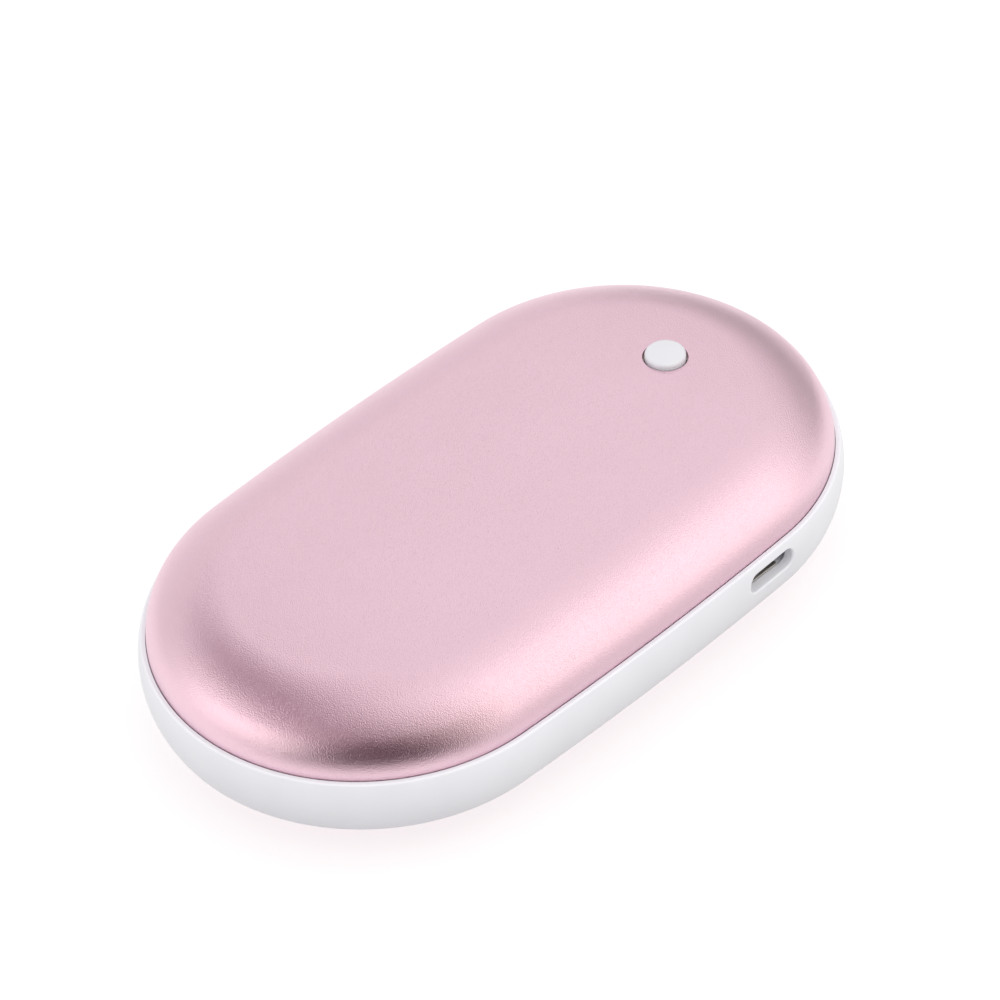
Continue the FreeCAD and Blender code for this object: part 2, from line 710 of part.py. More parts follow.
def switch():
    base = box("switch_block", "switch_width", "switch_width", "switch_base_height",
               "button_x", "0", "board_top_z")
    cavity = cylinder("switch_cavity", "switch_cavity_diameter / 2", "switch_cavity_depth + cut_overrun",
                      "button_x", "0", "switch_floor_z")
    node("switch_base", cut("switch_base", base, [cavity]))
    plate = box("switch_sheet", "switch_width", "switch_width", "switch_plate_thickness",
                "button_x", "0", "switch_top_z")
    opening = cylinder("switch_opening", "switch_post_diameter / 2 + running_gap",
                       "switch_plate_thickness + 2 * cut_overrun",
                       "button_x", "0", "switch_top_z - cut_overrun")
    node("switch_plate", cut("switch_plate", plate, [opening]))
    node("switch_plunger", revolved("switch_plunger", [
        ("0", "switch_floor_z + snap_dome_rise + contact_gap"),
        ("switch_cavity_diameter / 2 - running_gap", "switch_floor_z + snap_dome_rise + contact_gap"),
        ("switch_cavity_diameter / 2 - running_gap", "switch_top_z - contact_gap"),
        ("switch_post_diameter / 2", "switch_top_z - contact_gap"),
        ("switch_post_diameter / 2", "post_top_z"),
        ("0", "post_top_z"),
    ], shift_x="button_x"))
    node("snap_dome", revolved("snap_dome", [
        ("snap_dome_diameter / 2", "0"),
        ("0", "snap_dome_rise", "snap_dome_radius", "left"),
        ("0", "snap_dome_rise - snap_dome_thickness"),
        ("sqrt(snap_dome_inner_radius^2 - (snap_dome_radius - snap_dome_rise)^2)", "0",
         "snap_dome_inner_radius", "right"),
    ], shift_x="button_x", shift_y="switch_floor_z"))


def switch_terminals():
    """Four bent legs that come out at the sides of the switch and stand on the board."""
    legs = []
    for side in "+-":
        for row in "+-":
            y = f"0 {row} switch_terminal_spacing / 2"
            edge = f"button_x {side} switch_width / 2"
            tag = f"terminal_{len(legs)}"
            riser = box(f"{tag}_riser", "switch_terminal_thickness", "switch_terminal_width",
                        "switch_base_height / 2", f"{edge} {side} switch_terminal_thickness / 2",
                        y, "board_top_z")
            foot = box(f"{tag}_foot", "switch_terminal_reach", "switch_terminal_width",
                       "switch_terminal_thickness", f"{edge} {side} switch_terminal_reach / 2",
                       y, "board_top_z")
            legs.append(fuse(tag, [riser, foot]))
    node("switch_terminals", group("switch_terminals", legs))


# Charging receptacle

def socket_shell():
    half, low, side = "socket_width / 2", "socket_low_z", "board_low_z - socket_side_height"
    corner = f"{half} - socket_corner_inset"
    outer = [
        (half, "board_low_z"), (f"-{half}", "board_low_z"), (f"-{half}", side),
        (f"socket_corner_inset - {half}", low), (corner, low), (half, side),
    ]
    inner_half, inner_corner = f"({half} - socket_wall)", f"({corner} - socket_wall / 2)"
    inner_low, inner_high = f"{low} + socket_wall", "board_low_z - socket_wall"
    inner = [
        (inner_half, inner_high), (f"-{inner_half}", inner_high), (f"-{inner_half}", side),
        (f"-{inner_corner}", inner_low), (inner_corner, inner_low), (inner_half, side),
    ]
    tube = prism("socket_tube", "XZ_Plane", [outer, inner], "socket_length", at="socket_mouth_y",
                 backwards=True, shift_x="port_x")
    root, tip = "socket_wall - socket_mouth_y", "0 - socket_mouth_y - socket_lip_length"
    lower_lip = [
        (root, low), (root, inner_low),
        (tip, f"{inner_low} - socket_lip_flare"), (tip, f"{low} - socket_lip_flare"),
    ]
    upper_lip = [
        (root, inner_high), (root, "board_low_z"),
        (tip, "board_low_z + socket_lip_flare"), (tip, f"{inner_high} + socket_lip_flare"),
    ]
    lips = prism("socket_lips", "YZ_Plane", [lower_lip, upper_lip], "socket_lip_width",
                 at="port_x", both_ways=True)
    node("socket_shell", fuse("socket_shell", [tube, lips]))


def socket_core():
    """Insulator at the back of the receptacle with its tongue, and the contacts under the tongue."""
    room = "socket_wall + contact_gap"
    back_width = "2 * (socket_width / 2 - socket_corner_inset - socket_wall)"
    back_y = "contact_gap - socket_back_y - socket_back_depth / 2"
    back = box("socket_back", back_width, "socket_back_depth", f"socket_height - 2 * ({room})",
               "port_x", back_y, f"socket_low_z + {room}")
    tongue_z = "socket_low_z + socket_height / 2"
    tongue_y = "0 - socket_back_y - socket_back_depth - socket_tongue_length / 2"
    tongue = box("socket_tongue_blade", "socket_tongue_width", "socket_tongue_length + 2 * contact_gap",
                 "socket_tongue_thickness", "port_x", tongue_y, tongue_z)
    node("socket_tongue", fuse("socket_tongue", [back, tongue]))
    contacts = []
    for index in range(CONTACT_COUNT):
        steps = index - (CONTACT_COUNT - 1) / 2
        contacts.append(box(
            f"contact_{index}", "socket_contact_width", "socket_tongue_length - socket_back_depth / 2",
            "socket_contact_thickness", f"port_x + {steps} * socket_contact_pitch", tongue_y,
            f"{tongue_z} - socket_contact_thickness"))
    node("socket_contacts", group("socket_contacts", contacts))


# Cells and carrier

def cells():
    high = "can_radius"
    neck_start, neck_end = "cell_end_x - crimp_setback - crimp_width", "cell_end_x - crimp_setback"
    shoulder = "cell_end_x - washer_thickness - contact_gap"
    can = [
        ("cell_start_x", "0"),
        ("cell_start_x", f"{high} - can_edge_radius"),
        ("cell_start_x + can_edge_radius", high, "can_edge_radius", "right"),
        (neck_start, high), (neck_start, f"{high} - crimp_depth"),
        (neck_end, f"{high} - crimp_depth"), (neck_end, high),
        (shoulder, high), (shoulder, "cell_cap_diameter / 2"),
        ("cell_end_x", "cell_cap_diameter / 2"), ("cell_end_x", "0"),
    ]
    sleeve = rectangle("cell_start_x + can_edge_radius", shoulder, f"{high} + contact_gap", "cell_radius")
    washer = rectangle("cell_end_x - washer_thickness", "cell_end_x",
                       "cell_cap_diameter / 2 + contact_gap", f"{high} - washer_margin")
    sleeves, washers = [], []
    for name, y in (("port_side_cell", "0 - cell_side"), ("far_side_cell", "cell_side")):
        made = [revolved(f"{name}_{kind}", points, shift_y="cell_axis_z", along="X")
                for kind, points in (("can", can), ("sleeve", sleeve), ("washer", washer))]
        for body in made:
            place(body, y=y)
        node(name, made[0])
        sleeves.append(made[1])
        washers.append(made[2])
    node("cell_sleeves", group("cell_sleeves", sleeves))
    node("cell_end_washers", group("cell_end_washers", washers))


def cell_strips():
    """Nickel strips welded across the ends of both cells."""
    for name, x in (("positive_strip", "cell_end_x + strip_thickness / 2"),
                    ("negative_strip", "cell_start_x - strip_thickness / 2")):
        node(name, box(name, "strip_thickness", "2 * cell_side + 2 * strip_overhang", "strip_height",
                       x, "0", "cell_axis_z - strip_height / 2"))


def cell_carrier():
    """Plate with two windows that the cells nest in, end stops, and rails out to the ring's bosses."""
    stop, thickness, low = "carrier_stop_thickness", "carrier_thickness", "carrier_low_z"
    length = f"cell_length + 2 * carrier_room + 2 * {stop}"
    width = "2 * carrier_half_width"
    solids = [box("carrier_plate", length, width, thickness, "cell_middle_x", "0", low)]
    tools = []
    for index, side in enumerate("+-"):
        stop_x = f"cell_middle_x {side} (cell_length / 2 + carrier_room + {stop} / 2)"
        solids.append(box(f"carrier_stop_{index}", stop, "2 * cell_side",
                          f"{thickness} + carrier_stop_height", stop_x, "0", low))
        solids.append(box(f"carrier_rail_{index}", "2 * boss_x", "2 * carrier_ear_radius",
                          thickness, "0", f"0 {side} boss_y", low))
        tools.append(cylinder(f"cell_room_{index}", "cell_radius + contact_gap",
                              "cell_length + 2 * carrier_room", "cell_start_x - carrier_room",
                              f"0 {side} cell_side", "cell_axis_z", lying=True))
    for index, (x, y) in enumerate(boss_places("") + boss_places("-")):
        solids.append(cylinder(f"carrier_ear_{index}", "carrier_ear_radius", thickness, x, y, low))
        tools.append(cylinder(f"carrier_hole_{index}", "screw_hole_radius",
                              f"{thickness} + 2 * cut_overrun", x, y, f"{low} - cut_overrun"))
    node("cell_carrier", cut("cell_carrier", fuse("carrier_blank", solids), tools))


def screws(name, places, seat_z, grip, upwards):
    """Screws whose heads sit on seat_z, with the shank up or down through what they grip."""
    length = f"{grip} + screw_bite"
    head_z = f"{seat_z} - screw_head_height" if upwards else seat_z
    shank_z = seat_z if upwards else f"{seat_z} - ({length})"
    made = []
    for index, (x, y) in enumerate(places):
        head = cylinder(f"{name}_head_{index}", "screw_head_diameter / 2", "screw_head_height",
                        x, y, head_z)
        shank = cylinder(f"{name}_shank_{index}", "screw_diameter / 2", length, x, y, shank_z)
        made.append(fuse(f"{name}_{index}", [head, shank]))
    node(name, group(name, made))


# Board

def circuit_board():
    slab = prism("board_slab", "XY_Plane", [[
        ("board_left_x", "-board_radius"),
        ("end_centre_x", "-board_radius"),
        ("end_centre_x + board_radius", "0", "board_radius", "left"),
        ("end_centre_x", "board_radius", "board_radius", "left"),
        ("board_left_x", "board_radius"),
    ]], "board_thickness", at="board_low_z")
    tab_depth = "board_tab_y - board_radius + board_gap"
    tab = box("board_tab", "board_tab_width", tab_depth, "board_thickness",
              "port_x", f"({tab_depth}) / 2 - board_tab_y", "board_low_z")
    holes = [cylinder(f"board_hole_{index}", "screw_hole_radius", "board_thickness + 2 * cut_overrun",
                      x, y, "board_low_z - cut_overrun") for index, (x, y) in enumerate(boss_places(""))]
    node("circuit_board", cut("circuit_board", fuse("board_with_tab", [slab, tab]), holes))


def chip(name, shares, length, leads_per_side):
    """Moulded chip with a row of bent leads on each long side."""
    x, y = board_place(shares)
    node(name, box(name, length, "chip_width", "chip_height", x, y, "board_top_z + chip_standoff"))
    leads = []
    for side in "+-":
        for index in range(leads_per_side):
            lead_x = f"{x} + {index - (leads_per_side - 1) / 2} * chip_lead_pitch"
            edge = f"{y} {side} chip_width / 2"
            tag = f"{name}_{len(leads)}"
            riser = box(f"riser_{tag}", "chip_lead_width", "chip_lead_thickness", "chip_height / 2",
                        lead_x, f"{edge} {side} chip_lead_thickness / 2", "board_top_z")
            foot = box(f"foot_{tag}", "chip_lead_width", "chip_lead_reach", "chip_lead_thickness",
                       lead_x, f"{edge} {side} chip_lead_reach / 2", "board_top_z")
            leads.append(fuse(f"lead_{tag}", [riser, foot]))
    return leads


def board_parts():
    leads = chip("control_chip", CONTROL_CHIP_SHARES, "control_chip_length", CONTROL_LEADS_PER_SIDE)
    leads += chip("charge_chip", CHARGE_CHIP_SHARES, "charge_chip_length", CHARGE_LEADS_PER_SIDE)
    node("chip_leads", group("chip_leads", leads))
    for name, piece, places in (
            ("heater_transistors", "transistor", [("transistor_x", "boss_y"), ("transistor_x", "-boss_y")]),
            ("chip_capacitors", "capacitor", map(board_place, CAPACITOR_SHARES)),
            ("chip_resistors", "resistor", map(board_place, RESISTOR_SHARES))):
        blocks = [box(f"{piece}_{index}", f"{piece}_length", f"{piece}_width", f"{piece}_height",
                      x, y, "board_top_z") for index, (x, y) in enumerate(places)]
        node(name, group(name, blocks))
    leds = []
    for index, angle in enumerate(LED_ANGLES):
        x, y = [f"led_ring_radius * {turn}({angle} deg)" for turn in ("cos", "sin")]
        leds.append(box(f"led_{index}", "led_length", "led_width", "led_height",
                        f"button_x + {x}", y, "board_top_z"))
    node("status_leds", group("status_leds", leds))


def solder_pads():
    """Pads that the leads end on: three sets above the board, and one below it."""
    cell_pads = [NEGATIVE_PAD_SHARES, POSITIVE_PAD_SHARES]
    pads = []
    for name, places, radius, z in (
            ("cell_pad", cell_pads, "pad_diameter / 2", "board_top_z"),
            ("upper_heater_pad", UPPER_HEATER_PAD_SHARES, "pad_diameter / 2", "board_top_z"),
            ("sensor_pad", THERMISTOR_PAD_SHARES, "thermistor_lead_diameter", "board_top_z"),
            ("lower_heater_pad", LOWER_HEATER_PAD_SHARES, "pad_diameter / 2", "pad_low_z")):
        for index, shares in enumerate(places):
            pads.append(cylinder(f"{name}_{index}", radius, "pad_thickness", *board_place(shares), z))
    node("solder_pads", group("solder_pads", pads))


# Heaters, foam and leads

def curved_layer(name, outer_radius, thickness, width, length, middle_x):
    """Sheet of even thickness that follows the inside of the crown."""
    low_radius, half = f"({outer_radius} - {thickness})", f"({width}) / 2"
    outer_z = f"crown_centre_z + sqrt({outer_radius}^2 - ({half})^2)"
    low_z = f"crown_centre_z + sqrt({low_radius}^2 - ({half})^2)"
    return prism(name, "YZ_Plane", [[
        (half, low_z, low_radius, "right"), (half, outer_z),
        (f"-{half}", outer_z, outer_radius, "left"), (f"-{half}", low_z),
    ]], length, at=middle_x, both_ways=True)


def heater_track(name, layer, width, low_z):
    """Foil that runs to and fro over the film, cut to the thickness of its layer."""
    run_length = "(film_length - 2 * track_margin)"
    pitch = f"(({width} - 2 * track_margin - track_width) / {TRACK_RUNS - 1})"
    height = "cover_top_z - crest_z"
    strips = []
    for index in range(TRACK_RUNS):
        y = f"({index - (TRACK_RUNS - 1) / 2} * {pitch})"
        strips.append(box(f"{name}_run_{index}", run_length, "track_width", height,
                          "film_middle_x", y, low_z))
        if index < TRACK_RUNS - 1:
            side = "+" if index % 2 == 0 else "-"
            strips.append(box(f"{name}_link_{index}", "track_width", f"{pitch} + track_width", height,
                              f"film_middle_x {side} ({run_length} - track_width) / 2",
                              f"{y} + {pitch} / 2", low_z))
    node(name, common(name, [fuse(f"{name}_pattern", strips), layer]))


def heaters():
    node("upper_heater_film", curved_layer("upper_heater_film", "upper_film_radius", "film_thickness",
                                           "upper_film_width", "film_length", "film_middle_x"))
    upper = curved_layer("upper_track_layer", "upper_track_radius", "track_thickness",
                         "upper_film_width", "film_length", "film_middle_x")
    heater_track("upper_heater_track", upper, "upper_film_width", "crest_z")
    node("lower_heater_film", box("lower_heater_film", "film_length", "lower_film_width", "film_thickness",
                                  "film_middle_x", "0", "lower_film_z"))
    lower = box("lower_track_layer", "film_length", "lower_film_width", "track_thickness",
                "film_middle_x", "0", "lower_track_z")
    heater_track("lower_heater_track", lower, "lower_film_width", "lower_film_z")


def foam_pads():
    node("upper_foam_pad", curved_layer("upper_foam_pad", "upper_foam_radius", "upper_foam_thickness",
                                        "upper_foam_width", "foam_length", "foam_middle_x"))
    node("lower_foam_pad", box("lower_foam_pad", "foam_length", "lower_foam_width", "lower_foam_thickness",
                               "foam_middle_x", "0", "lower_foam_z"))


def tube(name, route, diameter):
    """Round lead along straight runs joined by tangent arcs, as large as the runs allow."""
    points = [Vector(*[value(formula) for formula in point]) for point in route]
    edges, start = [], points[0]
    for before, corner, after in zip(points, points[1:], points[2:]):
        back, ahead = before - corner, after - corner
        half_turn = (math.pi - back.getAngle(ahead)) / 2
        reach = BEND_SHARE * min(back.Length, ahead.Length)
        print(f"{name}: bend radius {reach / math.tan(half_turn):.2f}")
        first, last = corner + back.normalize() * reach, corner + ahead.normalize() * reach
        inward = (back + ahead).normalize()
        middle = corner + inward * (reach / math.tan(half_turn) * (1 / math.cos(half_turn) - 1))
        edges += [Part.LineSegment(start, first).toShape(), Part.Arc(first, middle, last).toShape()]
        start = last
    edges.append(Part.LineSegment(start, points[-1]).toShape())
    path = Part.Wire(edges)
    section = Part.Wire(Part.Circle(points[0], points[1] - points[0], value(diameter) / 2).toShape())
    solid = path.makePipeShell([section], True, False)
    expected = path.Length * math.pi * (value(diameter) / 2)**2
    if abs(solid.Volume - expected) > expected / 100:
        raise RuntimeError(f"{name} has the wrong volume")
    return solid


def lead(name, routes, diameter):
    item = doc.addObject("Part::Feature", name)
    solids = [tube(name, route, diameter) for route in routes]
    item.Shape = solids[0] if len(solids) == 1 else Part.makeCompound(solids)
    node(name, item)


def cell_leads():
    outer = "cell_start_x - strip_thickness - contact_gap - lead_radius"
    run_z = "crest_z - lead_valley_drop"
    x, y = board_place(NEGATIVE_PAD_SHARES)
    lead("negative_lead", [[
        (outer, y, "cell_axis_z"), (outer, y, run_z), (x, y, run_z), (x, y, "pad_top_z"),
    ]], "lead_diameter")
    outer = "strip_outer_x + contact_gap + lead_radius"
    x, y = board_place(POSITIVE_PAD_SHARES)
    arch_z = "board_top_z + lead_arch"
    lead("positive_lead", [[
        (outer, y, "board_top_z + contact_gap"), (outer, y, arch_z), (x, y, arch_z), (x, y, "pad_top_z"),
    ]], "lead_diameter")


def heater_leads():
    upper_z = "upper_track_low_z - contact_gap - heater_lead_radius"
    lower_z = "lower_foam_z + heater_lead_radius"
    for name, shares, run_z, end_z in (
            ("upper_heater_leads", UPPER_HEATER_PAD_SHARES, upper_z, "pad_top_z"),
            ("lower_heater_leads", LOWER_HEATER_PAD_SHARES, lower_z, "pad_low_z")):
        routes = []
        for x, y in map(board_place, shares):
            routes.append([("heater_lead_start_x", y, run_z), (x, y, run_z), (x, y, end_z)])
        lead(name, routes, "heater_lead_diameter")


def thermistor():
    """Bead against the upper heater with two thin leads down to the board."""
    radius = "thermistor_diameter / 2"
    places = [board_place(shares) for shares in THERMISTOR_PAD_SHARES]
    bead_x = "cell_end_x + thermistor_cell_gap"
    bead_y = f"({places[0][1]} + {places[1][1]}) / 2"
    seat_z = f"crown_centre_z + sqrt((upper_track_radius - track_thickness)^2 - ({bead_y})^2)"
    bead_z = f"{seat_z} - contact_gap - {radius}"
    node("thermistor", sphere("thermistor", radius, bead_x, bead_y, bead_z))
    start_x = f"{bead_x} + {radius} + contact_gap"
    lead("thermistor_leads", [
        [(start_x, y, bead_z), (x, y, bead_z), (x, y, "pad_top_z")] for x, y in places
    ], "thermistor_lead_diameter")


def build():
    fill_sheet()
    top_cover()
    bottom_cover()
    cover_bonds()
    mid_frame()
    button_cap()
    button_sleeve()
    switch()
    switch_terminals()
    socket_shell()
    socket_core()
    cells()
    cell_strips()
    cell_carrier()
    screws("carrier_screws", boss_places("") + boss_places("-"), "carrier_low_z", "carrier_thickness",
           upwards=True)
    circuit_board()
    screws("board_screws", boss_places(""), "board_top_z", "board_thickness", upwards=False)
    board_parts()
    solder_pads()
    heaters()
    foam_pads()
    cell_leads()
    heater_leads()
    thermistor()
    doc.recompute()


def check():
    for item in doc.Objects:
        if "Invalid" in item.State or "Error" in item.State:
            raise RuntimeError(f"{item.Label} failed")
    for item in nodes:
        if item.Shape.isNull() or not item.Shape.isValid():
            raise RuntimeError(f"{item.Label} has no valid shape")


def export():
    os.makedirs("parts", exist_ok=True)
    for item in nodes:
        item.Shape.exportStep(f"parts/{item.Label}.step")


build()
check()
export()
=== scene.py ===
import math

import bmesh
import bpy
from bpy.props import FloatProperty, FloatVectorProperty, PointerProperty
from mathutils import Euler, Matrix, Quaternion, Vector


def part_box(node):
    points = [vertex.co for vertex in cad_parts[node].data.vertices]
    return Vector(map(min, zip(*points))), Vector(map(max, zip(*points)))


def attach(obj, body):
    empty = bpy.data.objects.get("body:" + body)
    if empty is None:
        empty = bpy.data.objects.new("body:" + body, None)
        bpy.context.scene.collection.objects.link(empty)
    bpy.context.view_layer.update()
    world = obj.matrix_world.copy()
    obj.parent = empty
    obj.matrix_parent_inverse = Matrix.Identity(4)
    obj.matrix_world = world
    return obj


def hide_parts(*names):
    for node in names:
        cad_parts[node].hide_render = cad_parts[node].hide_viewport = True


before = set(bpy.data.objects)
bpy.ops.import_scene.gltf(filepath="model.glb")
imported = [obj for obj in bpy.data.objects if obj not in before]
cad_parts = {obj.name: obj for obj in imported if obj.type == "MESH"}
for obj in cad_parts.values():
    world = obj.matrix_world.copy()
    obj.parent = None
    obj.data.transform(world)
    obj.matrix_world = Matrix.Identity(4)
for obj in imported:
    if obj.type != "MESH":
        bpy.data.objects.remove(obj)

bl_info = {
    "name": "Rechargeable Hand Warmer",
    "version": (1, 0, 0),
    "blender": (4, 5, 0),
    "location": "View3D > Sidebar > Hand Warmer",
    "description": "Covers, ring, button, receptacle and finishes of a pocket hand warmer",
    "category": "Object",
}

MM = 0.001
MERGE_DISTANCE = 0.001 * MM
LEVEL_TOLERANCE = 0.02 * MM
SMOOTH_ANGLE = math.radians(32)
# Steps of the mesh round one end of the oval and along one side
END_STEPS, SIDE_STEPS = 112, 24
COVER_FINISH = "anodised aluminium, bead-blasted rose"
RING_FINISH = "ABS, moulded white"
# Middle of a noise texture's range, which holds nearly all of its values
NOISE_SPAN = {"From Min": 0.3, "From Max": 0.7}
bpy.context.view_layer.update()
RING_LOW, RING_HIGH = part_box("mid_frame")
TOP_LOW, TOP_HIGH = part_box("top_cover")
BASE_LOW, BASE_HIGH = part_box("bottom_cover")
CAP_LOW, CAP_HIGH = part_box("button_cap")
SHELL_LOW, SHELL_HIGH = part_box("socket_shell")
BOARD_LOW, BOARD_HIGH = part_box("circuit_board")


def hex_colour(code):
    """Turns an sRGB hex value into linear red, green, blue and alpha."""
    channels = [int(code[place:place + 2], 16) / 255 for place in (1, 3, 5)]
    linear = [c / 12.92 if c <= 0.04045 else ((c + 0.055) / 1.055) ** 2.4 for c in channels]
    return (*linear, 1.0)


def length(name, description, default):
    return FloatProperty(name=name, description=description, default=default,
                         min=0.0, precision=5, subtype="DISTANCE", unit="LENGTH")


def colour(name, description, code):
    return FloatVectorProperty(name=name, description=description, default=hex_colour(code),
                               size=4, min=0.0, max=1.0, subtype="COLOR")


# Sizes and colours that a user may change

class CaseSizes(bpy.types.PropertyGroup):
    """Outline of the case, its covers and its ring"""
    case_length: length("Length", "Length of the case", 100.0 * MM)
    case_width: length("Width", "Width of the case", 57.1 * MM)
    side_bow: length("Side Bow", "How far each long side bows out", 0.5 * MM)
    cover_wall: length("Cover Wall", "Thickness of both covers", 0.7 * MM)
    rim_height: length("Rim Height", "Straight rim of the top cover above the ring", 0.2 * MM)
    foot_radius: length("Foot Radius", "Curve of the dome next to the ring", 6.09 * MM)
    foot_rise: length("Foot Rise", "Height of that curve", 4.8 * MM)
    shoulder_radius: length("Shoulder Radius", "Curve between foot and crown", 14.0 * MM)
    crown_radius: length("Crown Radius", "Slight curve of the top", 230.0 * MM)
    base_flat_width: length("Base Flat Width", "Flat that the case rests on", 24.0 * MM)
    barrel_radius: length("Barrel Radius", "Outward curve of the ring's side", 10.4 * MM)
    bulge_height: length("Bulge Height", "Widest level of the ring above its lower edge", 5.1 * MM)
    ring_edge_radius: length("Ring Edge Radius", "Round of the ring's outer edges", 0.3 * MM)
    ring_wall: length("Ring Wall", "Thickness of the ring at its widest level", 3.6 * MM)
    groove_depth: length("Groove Depth", "Depth of the grooves that take the covers", 0.9 * MM)
    groove_lip: length("Groove Lip", "Height of the lip inside each groove", 0.7 * MM)
    groove_gap: length("Groove Gap", "Gap outside a cover's rim in its groove", 0.08 * MM)
    groove_inner_gap: length("Groove Inner Gap", "Gap inside a cover's rim in its groove", 0.14 * MM)
    boss_radius: length("Boss Radius", "Screw bosses inside the ring", 2.7 * MM)
    boss_setback: length("Boss Setback", "Bosses' axes inside the ring's inner wall", 2.4 * MM)
    boss_hole_radius: length("Boss Hole Radius", "Screw holes in the bosses", 1.05 * MM)


class ButtonSizes(bpy.types.PropertyGroup):
    """Button cap and the hole round it"""
    diameter: length("Diameter", "Diameter of the cap", 5.2 * MM)
    hole_gap: length("Hole Gap", "Gap round the cap in the cover", 0.3 * MM)
    crown_rise: length("Crown Rise", "Dome of the cap's face", 0.12 * MM)
    edge_radius: length("Edge Radius", "Round at the cap's edge", 0.4 * MM)
    flange_thickness: length("Flange Thickness", "Flange that holds the cap in", 0.6 * MM)
    stem_diameter: length("Stem Diameter", "Stem down to the switch", 3.2 * MM)


class PortSizes(bpy.types.PropertyGroup):
    """Charging aperture in the ring and its receptacle"""
    width: length("Width", "Width of the aperture", 7.8 * MM)
    height: length("Height", "Height of the aperture", 2.9 * MM)
    corner_radius: length("Corner Radius", "Round corners of the aperture", 1.2 * MM)
    edge_radius: length("Edge Radius", "Round of the aperture's outer edge", 0.35 * MM)
    wall: length("Wall", "Thickness of the ring at the aperture", 1.5 * MM)
    level: length("Level", "Middle of the aperture below the ring's upper edge", 2.7 * MM)
    clearance: length("Clearance", "Room round the receptacle and the board", 0.35 * MM)


class FinishColours(bpy.types.PropertyGroup):
    """Colours of the surfaces that show from outside"""
    cover: colour("Covers", "Anodised colour of both covers", "#EECBD8")
    ring: colour("Ring", "Moulded colour of the ring", "#F7F7FD")
    button: colour("Button", "Moulded colour of the button", "#E2E2E7")


# Modelling steps shared by the pieces

def start_point(name, x, z):
    """One point in edit mode, in an object at the origin, to draw a section from."""
    bpy.ops.object.select_all(action="DESELECT")
    bpy.ops.mesh.primitive_plane_add(size=MM)
    piece = bpy.context.object
    piece.name = name
    piece.data.name = name
    bpy.ops.object.mode_set(mode="EDIT")
    bpy.ops.mesh.select_mode(type="VERT")
    bpy.ops.mesh.select_all(action="SELECT")
    bpy.ops.mesh.merge(type="CENTER")
    bpy.ops.transform.translate(value=(x, 0.0, z))
    return piece


def draw_section(name, axis_x, points):
    """Chain of edges through (radius, height) points beside an upright axis.

    A point that an arc arrives at also gives the arc's centre and its number of steps.
    """
    radius, height = points[0]
    piece = start_point(name, axis_x + radius, height)
    for point in points[1:]:
        if len(point) == 2:
            step = (point[0] - radius, 0.0, point[1] - height)
            bpy.ops.mesh.extrude_vertices_move(TRANSFORM_OT_translate={"value": step})
        else:
            across, up, steps = point[2:]
            first = math.atan2(radius - across, height - up)
            last = math.atan2(point[0] - across, point[1] - up)
            turn = (first - last + math.pi) % math.tau - math.pi
            bpy.ops.mesh.spin(steps=steps, angle=turn, center=(axis_x + across, 0.0, up),
                              axis=(0.0, 1.0, 0.0))
        radius, height = point[:2]
    return piece


def spin_section(x, y, turn, steps):
    bpy.ops.mesh.spin(steps=steps, angle=turn, center=(x, y, 0.0), axis=(0.0, 0.0, 1.0))


def end_centre(case):
    """Place along X that the arcs of an end turn about."""
    return (case.case_length - case.case_width) / 2 + case.side_bow


def side_arc(case):
    """Radius of the arc through both ends' centres that a long side follows, and its own centre's offset."""
    orbit = (end_centre(case) ** 2 + case.side_bow ** 2) / (2 * case.side_bow)
    return orbit, orbit - case.side_bow


def carry_round_oval(case):
    """Carries a section at the +X end round the four arcs of the plan and back to its start."""
    end = end_centre(case)
    orbit, side = side_arc(case)
    side_turn = 2 * math.asin(end / orbit)
    end_turn = math.pi - side_turn
    bpy.ops.mesh.select_all(action="SELECT")
    spin_section(end, 0.0, end_turn / 2, END_STEPS // 2)
    spin_section(0.0, side, side_turn, SIDE_STEPS)
    spin_section(-end, 0.0, end_turn, END_STEPS)
    spin_section(0.0, -side, side_turn, SIDE_STEPS)
    spin_section(end, 0.0, end_turn / 2, END_STEPS // 2)


def fill_middle(case, height):
    """Closes the level strip that is left along the middle of a cover."""
    bpy.ops.mesh.select_all(action="SELECT")
    bpy.ops.mesh.remove_doubles(threshold=MERGE_DISTANCE)
    reach, half_strip = end_centre(case) + LEVEL_TOLERANCE, 1.02 * case.side_bow
    select_edges(lambda place: abs(place.z - height) < LEVEL_TOLERANCE and abs(place.y) < half_strip
                 and abs(place.x) < reach)
    bpy.ops.mesh.edge_face_add()


def close_seams():
    """Merges the points that lie on each other and turns the faces outwards."""
    bpy.ops.mesh.select_all(action="SELECT")
    bpy.ops.mesh.remove_doubles(threshold=MERGE_DISTANCE)
    bpy.ops.mesh.normals_make_consistent(inside=False)
    bpy.ops.object.mode_set(mode="OBJECT")


def select_edges(test):
    """Selects the edges whose two ends both pass the test, and stops if there are none."""
    bpy.ops.mesh.select_mode(type="EDGE")
    bpy.ops.mesh.select_all(action="DESELECT")
    mesh = bmesh.from_edit_mesh(bpy.context.edit_object.data)
    chosen = [edge for edge in mesh.edges if all(test(point.co) for point in edge.verts)]
    if not chosen:
        raise RuntimeError(f"no edges to work on in {bpy.context.edit_object.name}")
    for edge in chosen:
        edge.select_set(True)
    bmesh.update_edit_mesh(bpy.context.edit_object.data)


def make_active(piece):
    bpy.ops.object.select_all(action="DESELECT")
    piece.select_set(True)
    bpy.context.view_layer.objects.active = piece


def apply_modifier(piece, kind, **settings):
    make_active(piece)
    bpy.ops.object.modifier_add(type=kind)
    modifier = piece.modifiers[-1]
    for name, value in settings.items():
        setattr(modifier, name, value)
    bpy.ops.object.modifier_apply(modifier=modifier.name)


def mesh_counts(piece):
    return len(piece.data.vertices), len(piece.data.polygons)


